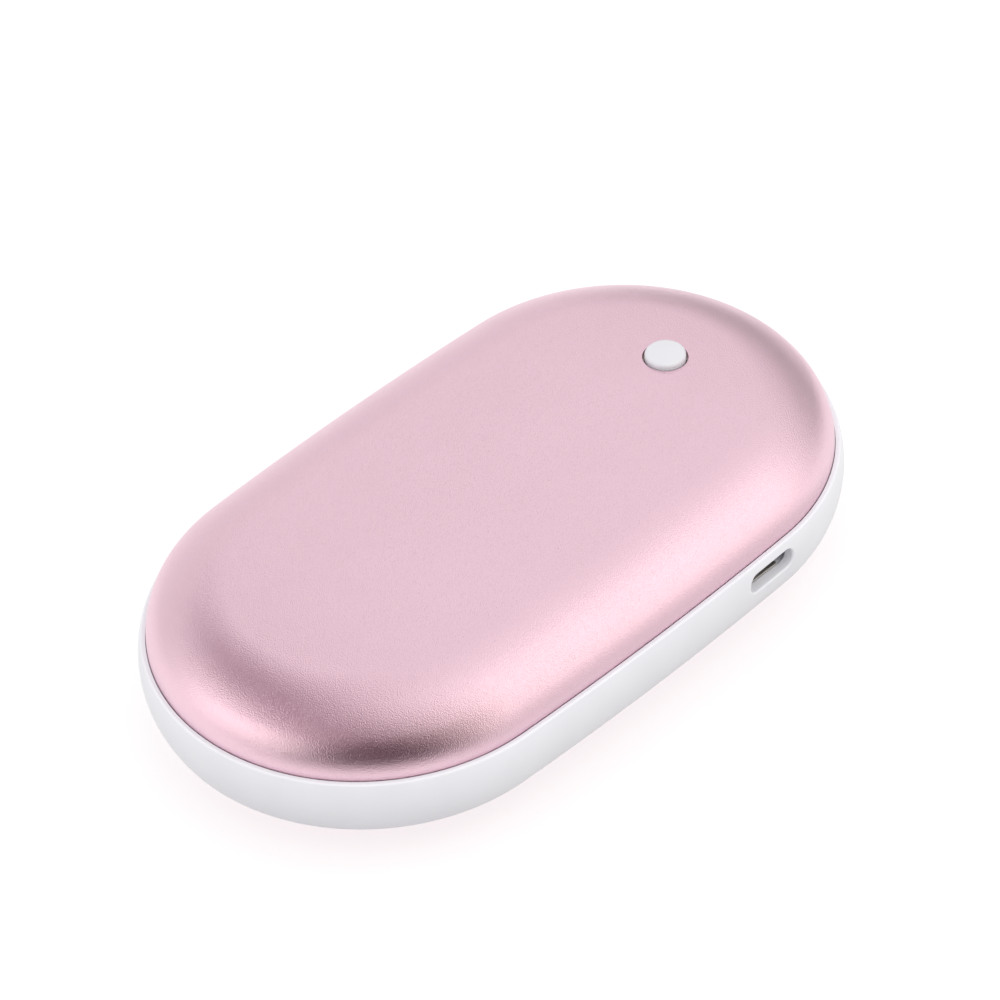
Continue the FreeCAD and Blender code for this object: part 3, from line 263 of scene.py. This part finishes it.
def combine(piece, tool, operation):
    """Cuts a tool out of a piece or joins it on, removes the tool, and stops if nothing changed."""
    before = mesh_counts(piece)
    apply_modifier(piece, "BOOLEAN", object=tool, operation=operation, solver="EXACT")
    if mesh_counts(piece) == before:
        raise RuntimeError(f"{tool.name} did not meet {piece.name}")
    bpy.data.objects.remove(tool)


def add_bar(name, radius, low, high, x, y, sides):
    """Upright round bar to cut or join with."""
    bpy.ops.object.select_all(action="DESELECT")
    bpy.ops.mesh.primitive_cylinder_add(vertices=sides, radius=radius, depth=high - low,
                                        location=(x, y, (low + high) / 2))
    bar = bpy.context.object
    bar.name = name
    bpy.ops.object.transform_apply(location=True, rotation=True, scale=True)
    return bar


def add_block(name, low, high):
    """Upright block between two corners, to cut with."""
    bpy.ops.object.select_all(action="DESELECT")
    bpy.ops.mesh.primitive_cube_add(size=1.0, location=(low + high) / 2, scale=high - low)
    block = bpy.context.object
    block.name = name
    bpy.ops.object.transform_apply(location=True, rotation=True, scale=True)
    return block


def finish_piece(piece, body, node, material):
    """Shades a piece, gives it its material and puts it in place of its solid."""
    make_active(piece)
    bpy.ops.object.shade_smooth_by_angle(angle=SMOOTH_ANGLE)
    piece.data.materials.clear()
    piece.data.materials.append(material)
    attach(piece, body)
    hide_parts(node)


def finish_nodes(material, *names):
    """Gives solids that keep their own shape a material."""
    for name in names:
        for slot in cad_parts[name].material_slots:
            slot.material = material


# Materials

def new_material(name, inputs):
    """Material with one Principled shader whose constant inputs are set."""
    material = bpy.data.materials.new(name)
    material.use_nodes = True
    shader = material.node_tree.nodes["Principled BSDF"]
    for label, value in inputs.items():
        shader.inputs[label].default_value = value
    return material, shader


def add_node(material, kind, inputs, **settings):
    """Adds a shader node. An input is a constant, or a socket that is linked to it."""
    node = material.node_tree.nodes.new(kind)
    for name, value in settings.items():
        setattr(node, name, value)
    for name, value in inputs.items():
        if isinstance(value, bpy.types.NodeSocket):
            material.node_tree.links.new(value, node.inputs[name])
        else:
            node.inputs[name].default_value = value
    return node


def link(material, source, shader, label):
    material.node_tree.links.new(source, shader.inputs[label])


def vary_shade(material, shader, base, pattern, darkest):
    """Gives the shader its base colour, a little darker where the pattern is low."""
    shades = add_node(material, "ShaderNodeMapRange", {
        "Value": pattern, **NOISE_SPAN, "To Min": darkest, "To Max": 1.0})
    tint = add_node(material, "ShaderNodeVectorMath", {
        0: base[:3], "Scale": shades.outputs["Result"]}, operation="SCALE")
    link(material, tint.outputs["Vector"], shader, "Base Color")


def anodised_aluminium(base):
    """Drawn aluminium, bead-blasted and then dyed rose in the anodising bath.

    The blast leaves fine dimples that spread a highlight softly and glint one by one at its edge.
    The dye is clear, so the metal's own reflection is tinted and nothing is painted over it.
    """
    material, shader = new_material(COVER_FINISH, {"Metallic": 1.0})
    spot = add_node(material, "ShaderNodeTexCoord", {})
    # Real blast dimples are about 0.05 mm; drawn at 0.15 mm, because finer ones would not show
    grain = add_node(material, "ShaderNodeTexNoise", {
        "Vector": spot.outputs["Object"], "Scale": 1 / (0.15 * MM), "Detail": 1.0})
    # Slow drift of the dye over about 9 mm
    drift = add_node(material, "ShaderNodeTexNoise", {
        "Vector": spot.outputs["Object"], "Scale": 1 / (9 * MM), "Detail": 1.0})
    vary_shade(material, shader, base, drift.outputs["Fac"], 0.985)
    gloss = add_node(material, "ShaderNodeMapRange", {
        "Value": grain.outputs["Fac"], **NOISE_SPAN, "To Min": 0.28, "To Max": 0.34})
    link(material, gloss.outputs["Result"], shader, "Roughness")
    dimples = add_node(material, "ShaderNodeBump", {
        "Strength": 1.0, "Distance": 0.046 * MM, "Height": grain.outputs["Fac"]})
    link(material, dimples.outputs["Normal"], shader, "Normal")
    return material


def moulded_plastic(name, base, roughness, texture):
    """Injection-moulded plastic off a finely eroded tool.

    The mould's texture breaks the gloss up, so edges catch a soft light and faces stay satin.
    """
    material, shader = new_material(name, {"Roughness": roughness, "IOR": 1.53})
    spot = add_node(material, "ShaderNodeTexCoord", {})
    # Eroded texture, about 0.1 mm from peak to peak, drawn at twice that so that it shows
    grain = add_node(material, "ShaderNodeTexNoise", {
        "Vector": spot.outputs["Object"], "Scale": 1 / (0.2 * MM), "Detail": 2.0})
    drift = add_node(material, "ShaderNodeTexNoise", {
        "Vector": spot.outputs["Object"], "Scale": 1 / (6 * MM), "Detail": 1.0})
    vary_shade(material, shader, base, drift.outputs["Fac"], 0.975)
    bumps = add_node(material, "ShaderNodeBump", {
        "Strength": texture, "Distance": 0.01 * MM, "Height": grain.outputs["Fac"]})
    link(material, bumps.outputs["Normal"], shader, "Normal")
    return material


def plated_metal(name, base, roughness):
    """Pressed sheet or wire under a thin plating.

    Rolling leaves faint lines along it, and the plating dulls them to a soft metallic sheen.
    """
    material, shader = new_material(name, {"Metallic": 1.0})
    spot = add_node(material, "ShaderNodeTexCoord", {})
    # Rolling lines 0.08 mm apart and 4 mm long
    stretch = add_node(material, "ShaderNodeMapping", {
        "Vector": spot.outputs["Object"], "Scale": (1 / (4 * MM), 1 / (0.08 * MM), 1 / (0.08 * MM))})
    lines = add_node(material, "ShaderNodeTexNoise", {"Vector": stretch.outputs["Vector"], "Scale": 1.0})
    vary_shade(material, shader, base, lines.outputs["Fac"], 0.9)
    gloss = add_node(material, "ShaderNodeMapRange", {
        "Value": lines.outputs["Fac"], **NOISE_SPAN, "To Min": roughness, "To Max": roughness + 0.1})
    link(material, gloss.outputs["Result"], shader, "Roughness")
    return material


def soft_coat(name, base, roughness, grain_size, depth):
    """Rubber, adhesive, foam, paper or film: cut from sheet or drawn, with a fine uneven skin.

    The skin scatters light, so the piece looks dull with slight changes of shade.
    """
    material, shader = new_material(name, {"Roughness": roughness, "IOR": 1.45})
    spot = add_node(material, "ShaderNodeTexCoord", {})
    skin = add_node(material, "ShaderNodeTexNoise", {
        "Vector": spot.outputs["Object"], "Scale": 1 / grain_size, "Detail": 3.0})
    vary_shade(material, shader, base, skin.outputs["Fac"], 0.88)
    bumps = add_node(material, "ShaderNodeBump", {
        "Strength": 0.5, "Distance": depth, "Height": skin.outputs["Fac"]})
    link(material, bumps.outputs["Normal"], shader, "Normal")
    return material


# Pieces

class HANDWARMER_OT_top_cover(bpy.types.Operator):
    """Model the domed top cover with its button hole"""
    bl_idname = "hand_warmer.top_cover"
    bl_label = "Top Cover"
    bl_options = {"REGISTER", "UNDO"}

    def execute(self, context):
        case, button = context.scene.hand_warmer_case, context.scene.hand_warmer_button
        end = end_centre(case)
        radius, base = TOP_HIGH.x - end, RING_HIGH.z + case.rim_height
        foot_sine = case.foot_rise / case.foot_radius
        foot_cosine = math.sqrt(1 - foot_sine ** 2)
        foot_across = radius - case.foot_radius
        edge = foot_across + case.foot_radius * foot_cosine
        shoulder_across = edge - case.shoulder_radius * foot_cosine
        shoulder_up = base + case.foot_rise - case.shoulder_radius * foot_sine
        crown_sine = shoulder_across / (case.crown_radius - case.shoulder_radius)
        crown_up = TOP_HIGH.z - case.crown_radius
        crown_edge = case.crown_radius * crown_sine
        crown_edge_up = crown_up + case.crown_radius * math.sqrt(1 - crown_sine ** 2)
        cover = draw_section("top_cover_shell", end, [
            (radius, TOP_LOW.z), (radius, base),
            (edge, base + case.foot_rise, foot_across, base, 20),
            (crown_edge, crown_edge_up, shoulder_across, shoulder_up, 24),
            (0.0, TOP_HIGH.z, 0.0, crown_up, 28),
        ])
        carry_round_oval(case)
        fill_middle(case, TOP_HIGH.z)
        close_seams()
        apply_modifier(cover, "SOLIDIFY", thickness=case.cover_wall, offset=-1.0, use_even_offset=True)
        middle = (CAP_LOW.x + CAP_HIGH.x) / 2
        hole = add_bar("button_hole", button.diameter / 2 + button.hole_gap, RING_HIGH.z,
                       TOP_HIGH.z + case.cover_wall, middle, 0.0, 96)
        combine(cover, hole, "DIFFERENCE")
        colours = context.scene.hand_warmer_colours
        finish_piece(cover, "case", "top_cover", anodised_aluminium(colours.cover))
        return {"FINISHED"}


class HANDWARMER_OT_bottom_cover(bpy.types.Operator):
    """Model the dished base cover with the flat that it rests on"""
    bl_idname = "hand_warmer.bottom_cover"
    bl_label = "Bottom Cover"
    bl_options = {"REGISTER", "UNDO"}

    def execute(self, context):
        case = context.scene.hand_warmer_case
        end = end_centre(case)
        radius, flat, rise = BASE_HIGH.x - end, case.base_flat_width / 2, RING_LOW.z
        slope = ((radius - flat) ** 2 + rise ** 2) / (2 * rise)
        cover = draw_section("bottom_cover_shell", end, [
            (0.0, 0.0), (flat, 0.0), (radius, rise, flat, slope, 32), (radius, BASE_HIGH.z),
        ])
        carry_round_oval(case)
        fill_middle(case, 0.0)
        close_seams()
        apply_modifier(cover, "SOLIDIFY", thickness=case.cover_wall, offset=-1.0, use_even_offset=True)
        finish_piece(cover, "case", "bottom_cover", bpy.data.materials[COVER_FINISH])
        return {"FINISHED"}


class HANDWARMER_OT_ring(bpy.types.Operator):
    """Model the moulded ring with its grooves, bosses and charging aperture"""
    bl_idname = "hand_warmer.ring"
    bl_label = "Ring"
    bl_options = {"REGISTER", "UNDO"}

    def execute(self, context):
        case, port = context.scene.hand_warmer_case, context.scene.hand_warmer_port
        end, widest = end_centre(case), case.case_width / 2 - case.side_bow
        low, high = RING_LOW.z, RING_HIGH.z
        inner = widest - case.ring_wall
        across, bulge = widest - case.barrel_radius, low + case.bulge_height
        edge = case.ring_edge_radius
        orbit = case.barrel_radius - edge
        stretch = case.barrel_radius / orbit
        low_drop, high_rise = bulge - low - edge, high - bulge - edge
        low_reach = math.sqrt(orbit ** 2 - low_drop ** 2)
        high_reach = math.sqrt(orbit ** 2 - high_rise ** 2)
        gap, wall = case.groove_gap, case.cover_wall + case.groove_inner_gap
        top, base = TOP_HIGH.x - end, BASE_HIGH.x - end
        upper, lower = high - case.groove_depth, low + case.groove_depth
        ring = draw_section("ring", end, [
            (across + low_reach, low),
            (across + low_reach * stretch, bulge - low_drop * stretch,
             across + low_reach, bulge - low_drop, 8),
            (across + high_reach * stretch, bulge + high_rise * stretch, across, bulge, 28),
            (across + high_reach, high, across + high_reach, bulge + high_rise, 8),
            (top + gap, high), (top + gap, upper), (top - wall, upper),
            (top - wall, upper + case.groove_lip), (inner, upper + case.groove_lip),
            (inner, lower - case.groove_lip), (base - wall, lower - case.groove_lip),
            (base - wall, lower), (base + gap, lower), (base + gap, low),
            (across + low_reach, low),
        ])
        carry_round_oval(case)
        close_seams()
        self.add_bosses(case, ring, end, inner)
        self.cut_port(case, port, ring, widest, inner)
        colours = context.scene.hand_warmer_colours
        material = moulded_plastic(RING_FINISH, colours.ring, 0.42, 0.2)
        finish_piece(ring, "case", "mid_frame", material)
        # The barrel's wide faces keep their own direction beside the small rounds of the aperture
        apply_modifier(ring, "WEIGHTED_NORMAL", keep_sharp=True)
        return {"FINISHED"}

    def add_bosses(self, case, ring, end, inner):
        """Four bosses on the ring's inner wall, from the carrier up to the board."""
        # The screws' heads and the carrier's plate lie under the bosses
        head_height, plate_thickness = 1.0 * MM, 1.6 * MM
        carrier_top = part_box("carrier_screws")[0].z + head_height + plate_thickness
        reach = (inner - case.boss_setback) * math.sqrt(0.5)
        for side_x in (1, -1):
            for side_y in (1, -1):
                x, y = side_x * (end + reach), side_y * reach
                boss = add_bar("boss", case.boss_radius, carrier_top, BOARD_LOW.z, x, y, 48)
                combine(ring, boss, "UNION")
                hole = add_bar("boss_hole", case.boss_hole_radius, carrier_top - MM, BOARD_LOW.z + MM,
                               x, y, 32)
                combine(ring, hole, "DIFFERENCE")

    def cut_port(self, case, port, ring, widest, inner):
        """Room inside the wall for the receptacle and the board, and the aperture into it."""
        x, z = (SHELL_LOW.x + SHELL_HIGH.x) / 2, RING_HIGH.z - port.level
        orbit, side = side_arc(case)
        lean = math.asin(x / (orbit + widest))
        face = side - (orbit + widest) * math.cos(lean)
        room = port.clearance
        notch_half, behind = 5.0 * MM, MM - inner
        notch = add_block("board_notch", Vector((x - notch_half, BOARD_LOW.y - room / 2, SHELL_LOW.z - room)),
                          Vector((x + notch_half, behind, RING_HIGH.z + MM)))
        combine(ring, notch, "DIFFERENCE")
        # Narrower and deeper than the notch, so that no two cuts share a face
        pocket_half = notch_half - room
        pocket = add_block("socket_room",
                           Vector((x - pocket_half, face + port.wall, z - port.height / 2 - room / 2)),
                           Vector((x + pocket_half, behind + MM, z + port.height / 2)))
        combine(ring, pocket, "DIFFERENCE")
        aperture = self.add_aperture(port, behind - face)
        aperture.location = (x, face, z)
        aperture.rotation_euler.z = lean
        combine(ring, aperture, "DIFFERENCE")

    def add_aperture(self, port, depth):
        """Round-cornered bar to cut with, which widens to a rounded mouth at its front."""
        edge = port.edge_radius
        reach = Vector((port.width / 2, 0.0, port.height / 2))
        bar = add_block("aperture", Vector((0.0, edge, 0.0)) - reach, Vector((0.0, depth, 0.0)) + reach)
        bpy.ops.object.mode_set(mode="EDIT")
        bpy.ops.mesh.select_mode(type="EDGE")
        mesh = bmesh.from_edit_mesh(bar.data)
        for side in mesh.edges:
            side.select_set(abs(side.verts[0].co.y - side.verts[1].co.y) > MM)
        bmesh.update_edit_mesh(bar.data)
        bpy.ops.mesh.bevel(offset=port.corner_radius, segments=12, affect="EDGES")
        bpy.ops.mesh.select_mode(type="FACE")
        mesh = bmesh.from_edit_mesh(bar.data)
        for cap in mesh.faces:
            cap.select_set(cap.calc_center_median().y < edge + MERGE_DISTANCE)
        bmesh.update_edit_mesh(bar.data)
        steps = 7
        forward, grown = 0.0, 0.0
        for step in range(1, steps + 1):
            turn = math.pi / 2 * step / steps
            last_forward, last_grown = forward, grown
            forward, grown = edge * math.sin(turn), edge * (1 - math.cos(turn))
            bpy.ops.mesh.extrude_region_move(
                TRANSFORM_OT_translate={"value": (0.0, last_forward - forward, 0.0)})
            bpy.ops.transform.resize(
                value=((reach.x + grown) / (reach.x + last_grown), 1.0,
                       (reach.z + grown) / (reach.z + last_grown)), center_override=(0.0, 0.0, 0.0))
        bpy.ops.mesh.extrude_region_move(TRANSFORM_OT_translate={"value": (0.0, -MM, 0.0)})
        close_seams()
        return bar


class HANDWARMER_OT_button(bpy.types.Operator):
    """Model the button cap with its domed face, flange and stem"""
    bl_idname = "hand_warmer.button"
    bl_label = "Button"
    bl_options = {"REGISTER", "UNDO"}

    def execute(self, context):
        button = context.scene.hand_warmer_button
        axis_x = (CAP_LOW.x + CAP_HIGH.x) / 2
        radius, flange, stem = button.diameter / 2, (CAP_HIGH.x - CAP_LOW.x) / 2, button.stem_diameter / 2
        face = radius - button.edge_radius
        rim = CAP_HIGH.z - button.crown_rise - button.edge_radius
        crown = (face ** 2 + button.crown_rise ** 2) / (2 * button.crown_rise)
        flange_gap = 0.05 * MM
        flange_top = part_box("button_sleeve")[0].z - flange_gap
        cap = draw_section("button", axis_x, [
            (0.0, CAP_LOW.z), (stem, CAP_LOW.z), (stem, flange_top - button.flange_thickness),
            (flange, flange_top - button.flange_thickness), (flange, flange_top), (radius, flange_top),
            (radius, rim), (face, rim + button.edge_radius, face, rim, 10),
            (0.0, CAP_HIGH.z, 0.0, CAP_HIGH.z - crown, 14),
        ])
        bpy.ops.mesh.select_all(action="SELECT")
        spin_section(axis_x, 0.0, math.tau, 96)
        close_seams()
        colours = context.scene.hand_warmer_colours
        material = moulded_plastic("acrylic, moulded opal white", colours.button, 0.35, 0.1)
        finish_piece(cap, "button", "button_cap", material)
        return {"FINISHED"}


class HANDWARMER_OT_inner_finishes(bpy.types.Operator):
    """Give the solids inside the case their materials"""
    bl_idname = "hand_warmer.inner_finishes"
    bl_label = "Inner Finishes"
    bl_options = {"REGISTER", "UNDO"}

    def execute(self, context):
        steel = plated_metal("steel, pressed and nickel-plated", hex_colour("#D5D2CC"), 0.26)
        finish_nodes(steel, "socket_shell", "switch_plate", "snap_dome", "switch_terminals",
                     "positive_strip", "negative_strip", "thermistor_leads")
        finish_nodes(plated_metal("steel, turned and zinc-plated", hex_colour("#C4C6CA"), 0.32),
                     "carrier_screws", "board_screws")
        finish_nodes(plated_metal("steel, deep-drawn cell can", hex_colour("#C9C8C5"), 0.3),
                     "port_side_cell", "far_side_cell")
        finish_nodes(plated_metal("copper alloy, gold-flashed", hex_colour("#E3BE6C"), 0.22), "socket_contacts")
        finish_nodes(plated_metal("copper foil, etched", hex_colour("#D08E6A"), 0.3),
                     "upper_heater_track", "lower_heater_track")
        finish_nodes(plated_metal("solder, reflowed", hex_colour("#D6D7D9"), 0.2), "chip_leads", "solder_pads")
        finish_nodes(moulded_plastic("nylon, moulded black", hex_colour("#232325"), 0.5, 0.3),
                     "socket_tongue", "switch_base", "switch_plunger", "control_chip", "charge_chip",
                     "heater_transistors", "chip_resistors", "thermistor")
        finish_nodes(moulded_plastic("ABS, moulded grey", hex_colour("#97999D"), 0.5, 0.3), "cell_carrier")
        finish_nodes(bpy.data.materials[RING_FINISH], "button_sleeve")
        finish_nodes(moulded_plastic("epoxy, cast clear lens", hex_colour("#F2E7BE"), 0.15, 0.05), "status_leds")
        finish_nodes(soft_coat("ceramic, fired tan", hex_colour("#B18A66"), 0.4, 0.15 * MM, 0.004 * MM),
                     "chip_capacitors")
        finish_nodes(soft_coat("glass laminate, green solder mask", hex_colour("#1F6B43"), 0.35, 0.5 * MM,
                               0.01 * MM), "circuit_board")
        finish_nodes(soft_coat("PVC, heat-shrunk blue sleeve", hex_colour("#2F639B"), 0.3, 1.5 * MM, 0.01 * MM),
                     "cell_sleeves")
        finish_nodes(soft_coat("fish paper, punched", hex_colour("#E2E1D8"), 0.8, 0.2 * MM, 0.01 * MM),
                     "cell_end_washers")
        finish_nodes(soft_coat("polyimide film, amber", hex_colour("#C4811F"), 0.28, 2 * MM, 0.004 * MM),
                     "upper_heater_film", "lower_heater_film")
        finish_nodes(soft_coat("polyurethane foam, cut grey", hex_colour("#57575A"), 0.95, 0.4 * MM, 0.08 * MM),
                     "upper_foam_pad", "lower_foam_pad")
        finish_nodes(soft_coat("acrylic adhesive, cured", hex_colour("#CFCBC2"), 0.4, 0.6 * MM, 0.01 * MM),
                     "top_cover_bond", "bottom_cover_bond", "button_sleeve_tape")
        for name, code, nodes in (
                ("silicone rubber, extruded red", "#B5241F", ["positive_lead"]),
                ("silicone rubber, extruded black", "#262626", ["negative_lead"]),
                ("silicone rubber, extruded white", "#DEDDD8", ["upper_heater_leads", "lower_heater_leads"])):
            finish_nodes(soft_coat(name, hex_colour(code), 0.6, 0.3 * MM, 0.006 * MM), *nodes)
        return {"FINISHED"}


# Stage, with angles in degrees and lengths in metres

PANEL_DISTANCE = 0.9
# Name, azimuth, elevation, width, height, radiance and colour of each light panel
PANELS = (
    ("right_panel", -66.3, 33.0, 1.13, 1.22, 0.56, "#FFFBF0"),
    ("left_panel", 162.0, 21.0, 1.0, 0.85, 0.55, "#FFFCF4"),
)
# Name, azimuth, elevation, distance, width, height and colour of each hanging cloth
HANGING_CLOTHS = (
    ("drape_behind_camera", -124.0, 30.0, 1.5, 2.75, 2.2, "#5C3A4A"),
    ("drape_overhead", 147.7, 64.0, 1.2, 2.15, 0.75, "#CCACBE"),
    ("drape_right", 18.0, 6.0, 1.5, 1.3, 0.8, "#9A9A9A"),
)
# Name, azimuth, distance, length, width and colour of what lies on the floor
FLOOR_CLOTHS = (
    ("drape_on_floor", -134.0, 0.74, 1.28, 1.36, "#3E2B34"),
    ("card_on_floor", -75.0, 0.35, 0.62, 0.1, "#E4E4E4"),
)
FLOOR_CLEARANCE = 0.5 * MM


class HANDWARMER_OT_stage(bpy.types.Operator):
    """Set up the floor, the studio light and the camera"""
    bl_idname = "hand_warmer.stage"
    bl_label = "Stage"
    bl_options = {"REGISTER", "UNDO"}

    def execute(self, context):
        context.scene.view_settings.view_transform = "Standard"
        self.add_floor()
        self.add_world(context)
        target = Vector((0.0, 0.0, RING_HIGH.z))
        for name, azimuth, elevation, width, height, radiance, code in PANELS:
            towards = self.direction(azimuth, elevation)
            self.add_panel(name, target + towards * PANEL_DISTANCE, self.facing(towards),
                           width, height, radiance, code)
        for name, azimuth, elevation, distance, width, height, code in HANGING_CLOTHS:
            towards = self.direction(azimuth, elevation)
            self.add_drape(name, target + towards * distance, self.facing(towards), width, height, code)
        for name, azimuth, distance, width, height, code in FLOOR_CLOTHS:
            place = self.direction(azimuth, 0.0) * distance + Vector((0.0, 0.0, FLOOR_CLEARANCE))
            self.add_drape(name, place, Euler((0.0, 0.0, math.radians(azimuth))), width, height, code)
        self.add_camera(context, target)
        return {"FINISHED"}

    def add_floor(self):
        """Pale sweep that shows white and keeps the shadow."""
        bpy.ops.object.select_all(action="DESELECT")
        bpy.ops.mesh.primitive_plane_add(size=8.0, location=(0.0, 0.0, 0.0))
        floor = bpy.context.object
        floor.name = "floor"
        material = bpy.data.materials.new("paper sweep, matt white")
        material.use_nodes = True
        nodes = material.node_tree.nodes
        nodes.remove(nodes["Principled BSDF"])
        ray = add_node(material, "ShaderNodeLightPath", {})
        # Metal and clear pieces show the same white paper as the camera does
        mirrored = add_node(material, "ShaderNodeMath", {
            0: ray.outputs["Is Glossy Ray"], 1: ray.outputs["Is Transmission Ray"]}, operation="MAXIMUM")
        seen = add_node(material, "ShaderNodeMath", {
            0: ray.outputs["Is Camera Ray"], 1: mirrored.outputs["Value"]}, operation="MAXIMUM")
        # With the light that the paper scatters itself, this comes to white
        added_white = 0.63
        lift = add_node(material, "ShaderNodeMath", {
            0: seen.outputs["Value"], 1: added_white}, operation="MULTIPLY")
        glow = add_node(material, "ShaderNodeEmission", {"Strength": lift.outputs["Value"]})
        paper = add_node(material, "ShaderNodeBsdfDiffuse", {"Color": hex_colour("#B0B0B0")})
        both = add_node(material, "ShaderNodeAddShader", {0: glow.outputs["Emission"], 1: paper.outputs["BSDF"]})
        link(material, both.outputs["Shader"], nodes["Material Output"], "Surface")
        floor.data.materials.append(material)

    def add_world(self, context):
        """White room with walls that are greyer near the floor, a little dimmer as light on matt surfaces."""
        horizon_level, white_height, matt_share = 0.74, 0.64, 0.98
        world = bpy.data.worlds.new("studio")
        context.scene.world = world
        world.use_nodes = True
        ray = add_node(world, "ShaderNodeLightPath", {})
        spot = add_node(world, "ShaderNodeTexCoord", {})
        height = add_node(world, "ShaderNodeSeparateXYZ", {"Vector": spot.outputs["Generated"]})
        wall = add_node(world, "ShaderNodeMapRange", {
            "Value": height.outputs["Z"], "From Min": 0.0, "From Max": white_height,
            "To Min": horizon_level, "To Max": 1.0})
        share = add_node(world, "ShaderNodeMapRange", {
            "Value": ray.outputs["Is Diffuse Ray"], "To Min": 1.0, "To Max": matt_share})
        level = add_node(world, "ShaderNodeMath", {
            0: wall.outputs["Result"], 1: share.outputs["Result"]}, operation="MULTIPLY")
        link(world, level.outputs["Value"], world.node_tree.nodes["Background"], "Strength")
        world.node_tree.nodes["Background"].inputs["Color"].default_value = hex_colour("#FFFFFF")

    def direction(self, azimuth, elevation):
        """Unit vector from the object, with the azimuth from +X towards +Y in degrees."""
        azimuth, elevation = math.radians(azimuth), math.radians(elevation)
        return Vector((math.cos(azimuth) * math.cos(elevation), math.sin(azimuth) * math.cos(elevation),
                       math.sin(elevation)))

    def facing(self, towards):
        """Turn of a flat piece whose back points away from the object."""
        return towards.to_track_quat("Z", "Y").to_euler()

    def add_drape(self, name, place, turn, width, height, code):
        """Cloth or card that shows as a darker area in the covers and takes no light off anything else."""
        bpy.ops.object.select_all(action="DESELECT")
        bpy.ops.mesh.primitive_plane_add(size=1.0, location=place, rotation=turn)
        drape = bpy.context.object
        drape.name = name
        drape.scale = (width, height, 1.0)
        bpy.ops.object.transform_apply(location=False, rotation=False, scale=True)
        drape.visible_camera = False
        drape.visible_diffuse = False
        drape.visible_shadow = False
        material = new_material(f"cotton cloth, dyed matt, {name}", {
            "Base Color": hex_colour(code), "Roughness": 1.0})[0]
        drape.data.materials.append(material)

    def add_panel(self, name, place, turn, width, height, radiance, code):
        """Soft light panel that faces the object."""
        bpy.ops.object.light_add(type="AREA", location=place, rotation=turn)
        panel = bpy.context.object
        panel.name = name
        panel.data.shape = "RECTANGLE"
        panel.data.size, panel.data.size_y = width, height
        panel.data.energy = radiance * math.pi * width * height
        panel.data.color = hex_colour(code)[:3]
        panel.visible_camera = False

    def add_camera(self, context, target):
        """Camera at the photographed angle, looking at the middle of the ring's upper edge."""
        azimuth, elevation, roll = (math.radians(angle) for angle in (-43.757, 42.493, -2.922))
        distance = 0.6
        back = Vector((math.sin(azimuth) * math.cos(elevation), -math.cos(azimuth) * math.cos(elevation),
                       math.sin(elevation)))
        turn = back.to_track_quat("Z", "Y") @ Quaternion((0.0, 0.0, 1.0), roll)
        bpy.ops.object.camera_add(location=target + back * distance, rotation=turn.to_euler())
        camera = context.object
        camera.data.sensor_width = 36.0
        camera.data.lens = 176.34
        camera.data.shift_x, camera.data.shift_y = 0.00359, 0.02988
        camera.data.clip_start = 0.01
        context.scene.camera = camera


class HANDWARMER_PT_panel(bpy.types.Panel):
    """Hand warmer pieces and their sizes"""
    bl_label = "Hand Warmer"
    bl_idname = "HANDWARMER_PT_panel"
    bl_space_type = "VIEW_3D"
    bl_region_type = "UI"
    bl_category = "Hand Warmer"

    def draw(self, context):
        layout = self.layout
        for group in (context.scene.hand_warmer_case, context.scene.hand_warmer_button,
                      context.scene.hand_warmer_port, context.scene.hand_warmer_colours):
            box = layout.box()
            for name in group.__annotations__:
                box.prop(group, name)
        for operator in OPERATORS:
            layout.operator(operator.bl_idname)


OPERATORS = (
    HANDWARMER_OT_top_cover,
    HANDWARMER_OT_bottom_cover,
    HANDWARMER_OT_ring,
    HANDWARMER_OT_button,
    HANDWARMER_OT_inner_finishes,
    HANDWARMER_OT_stage,
)
CLASSES = (CaseSizes, ButtonSizes, PortSizes, FinishColours, *OPERATORS, HANDWARMER_PT_panel)


def register():
    for cls in CLASSES:
        bpy.utils.register_class(cls)
    bpy.types.Scene.hand_warmer_case = PointerProperty(type=CaseSizes)
    bpy.types.Scene.hand_warmer_button = PointerProperty(type=ButtonSizes)
    bpy.types.Scene.hand_warmer_port = PointerProperty(type=PortSizes)
    bpy.types.Scene.hand_warmer_colours = PointerProperty(type=FinishColours)


def unregister():
    del bpy.types.Scene.hand_warmer_colours
    del bpy.types.Scene.hand_warmer_port
    del bpy.types.Scene.hand_warmer_button
    del bpy.types.Scene.hand_warmer_case
    for cls in reversed(CLASSES):
        bpy.utils.unregister_class(cls)


def main():
    register()
    bpy.ops.hand_warmer.top_cover()
    bpy.ops.hand_warmer.bottom_cover()
    bpy.ops.hand_warmer.ring()
    bpy.ops.hand_warmer.button()
    bpy.ops.hand_warmer.inner_finishes()
    bpy.ops.hand_warmer.stage()


if __name__ == "__main__":
    main()
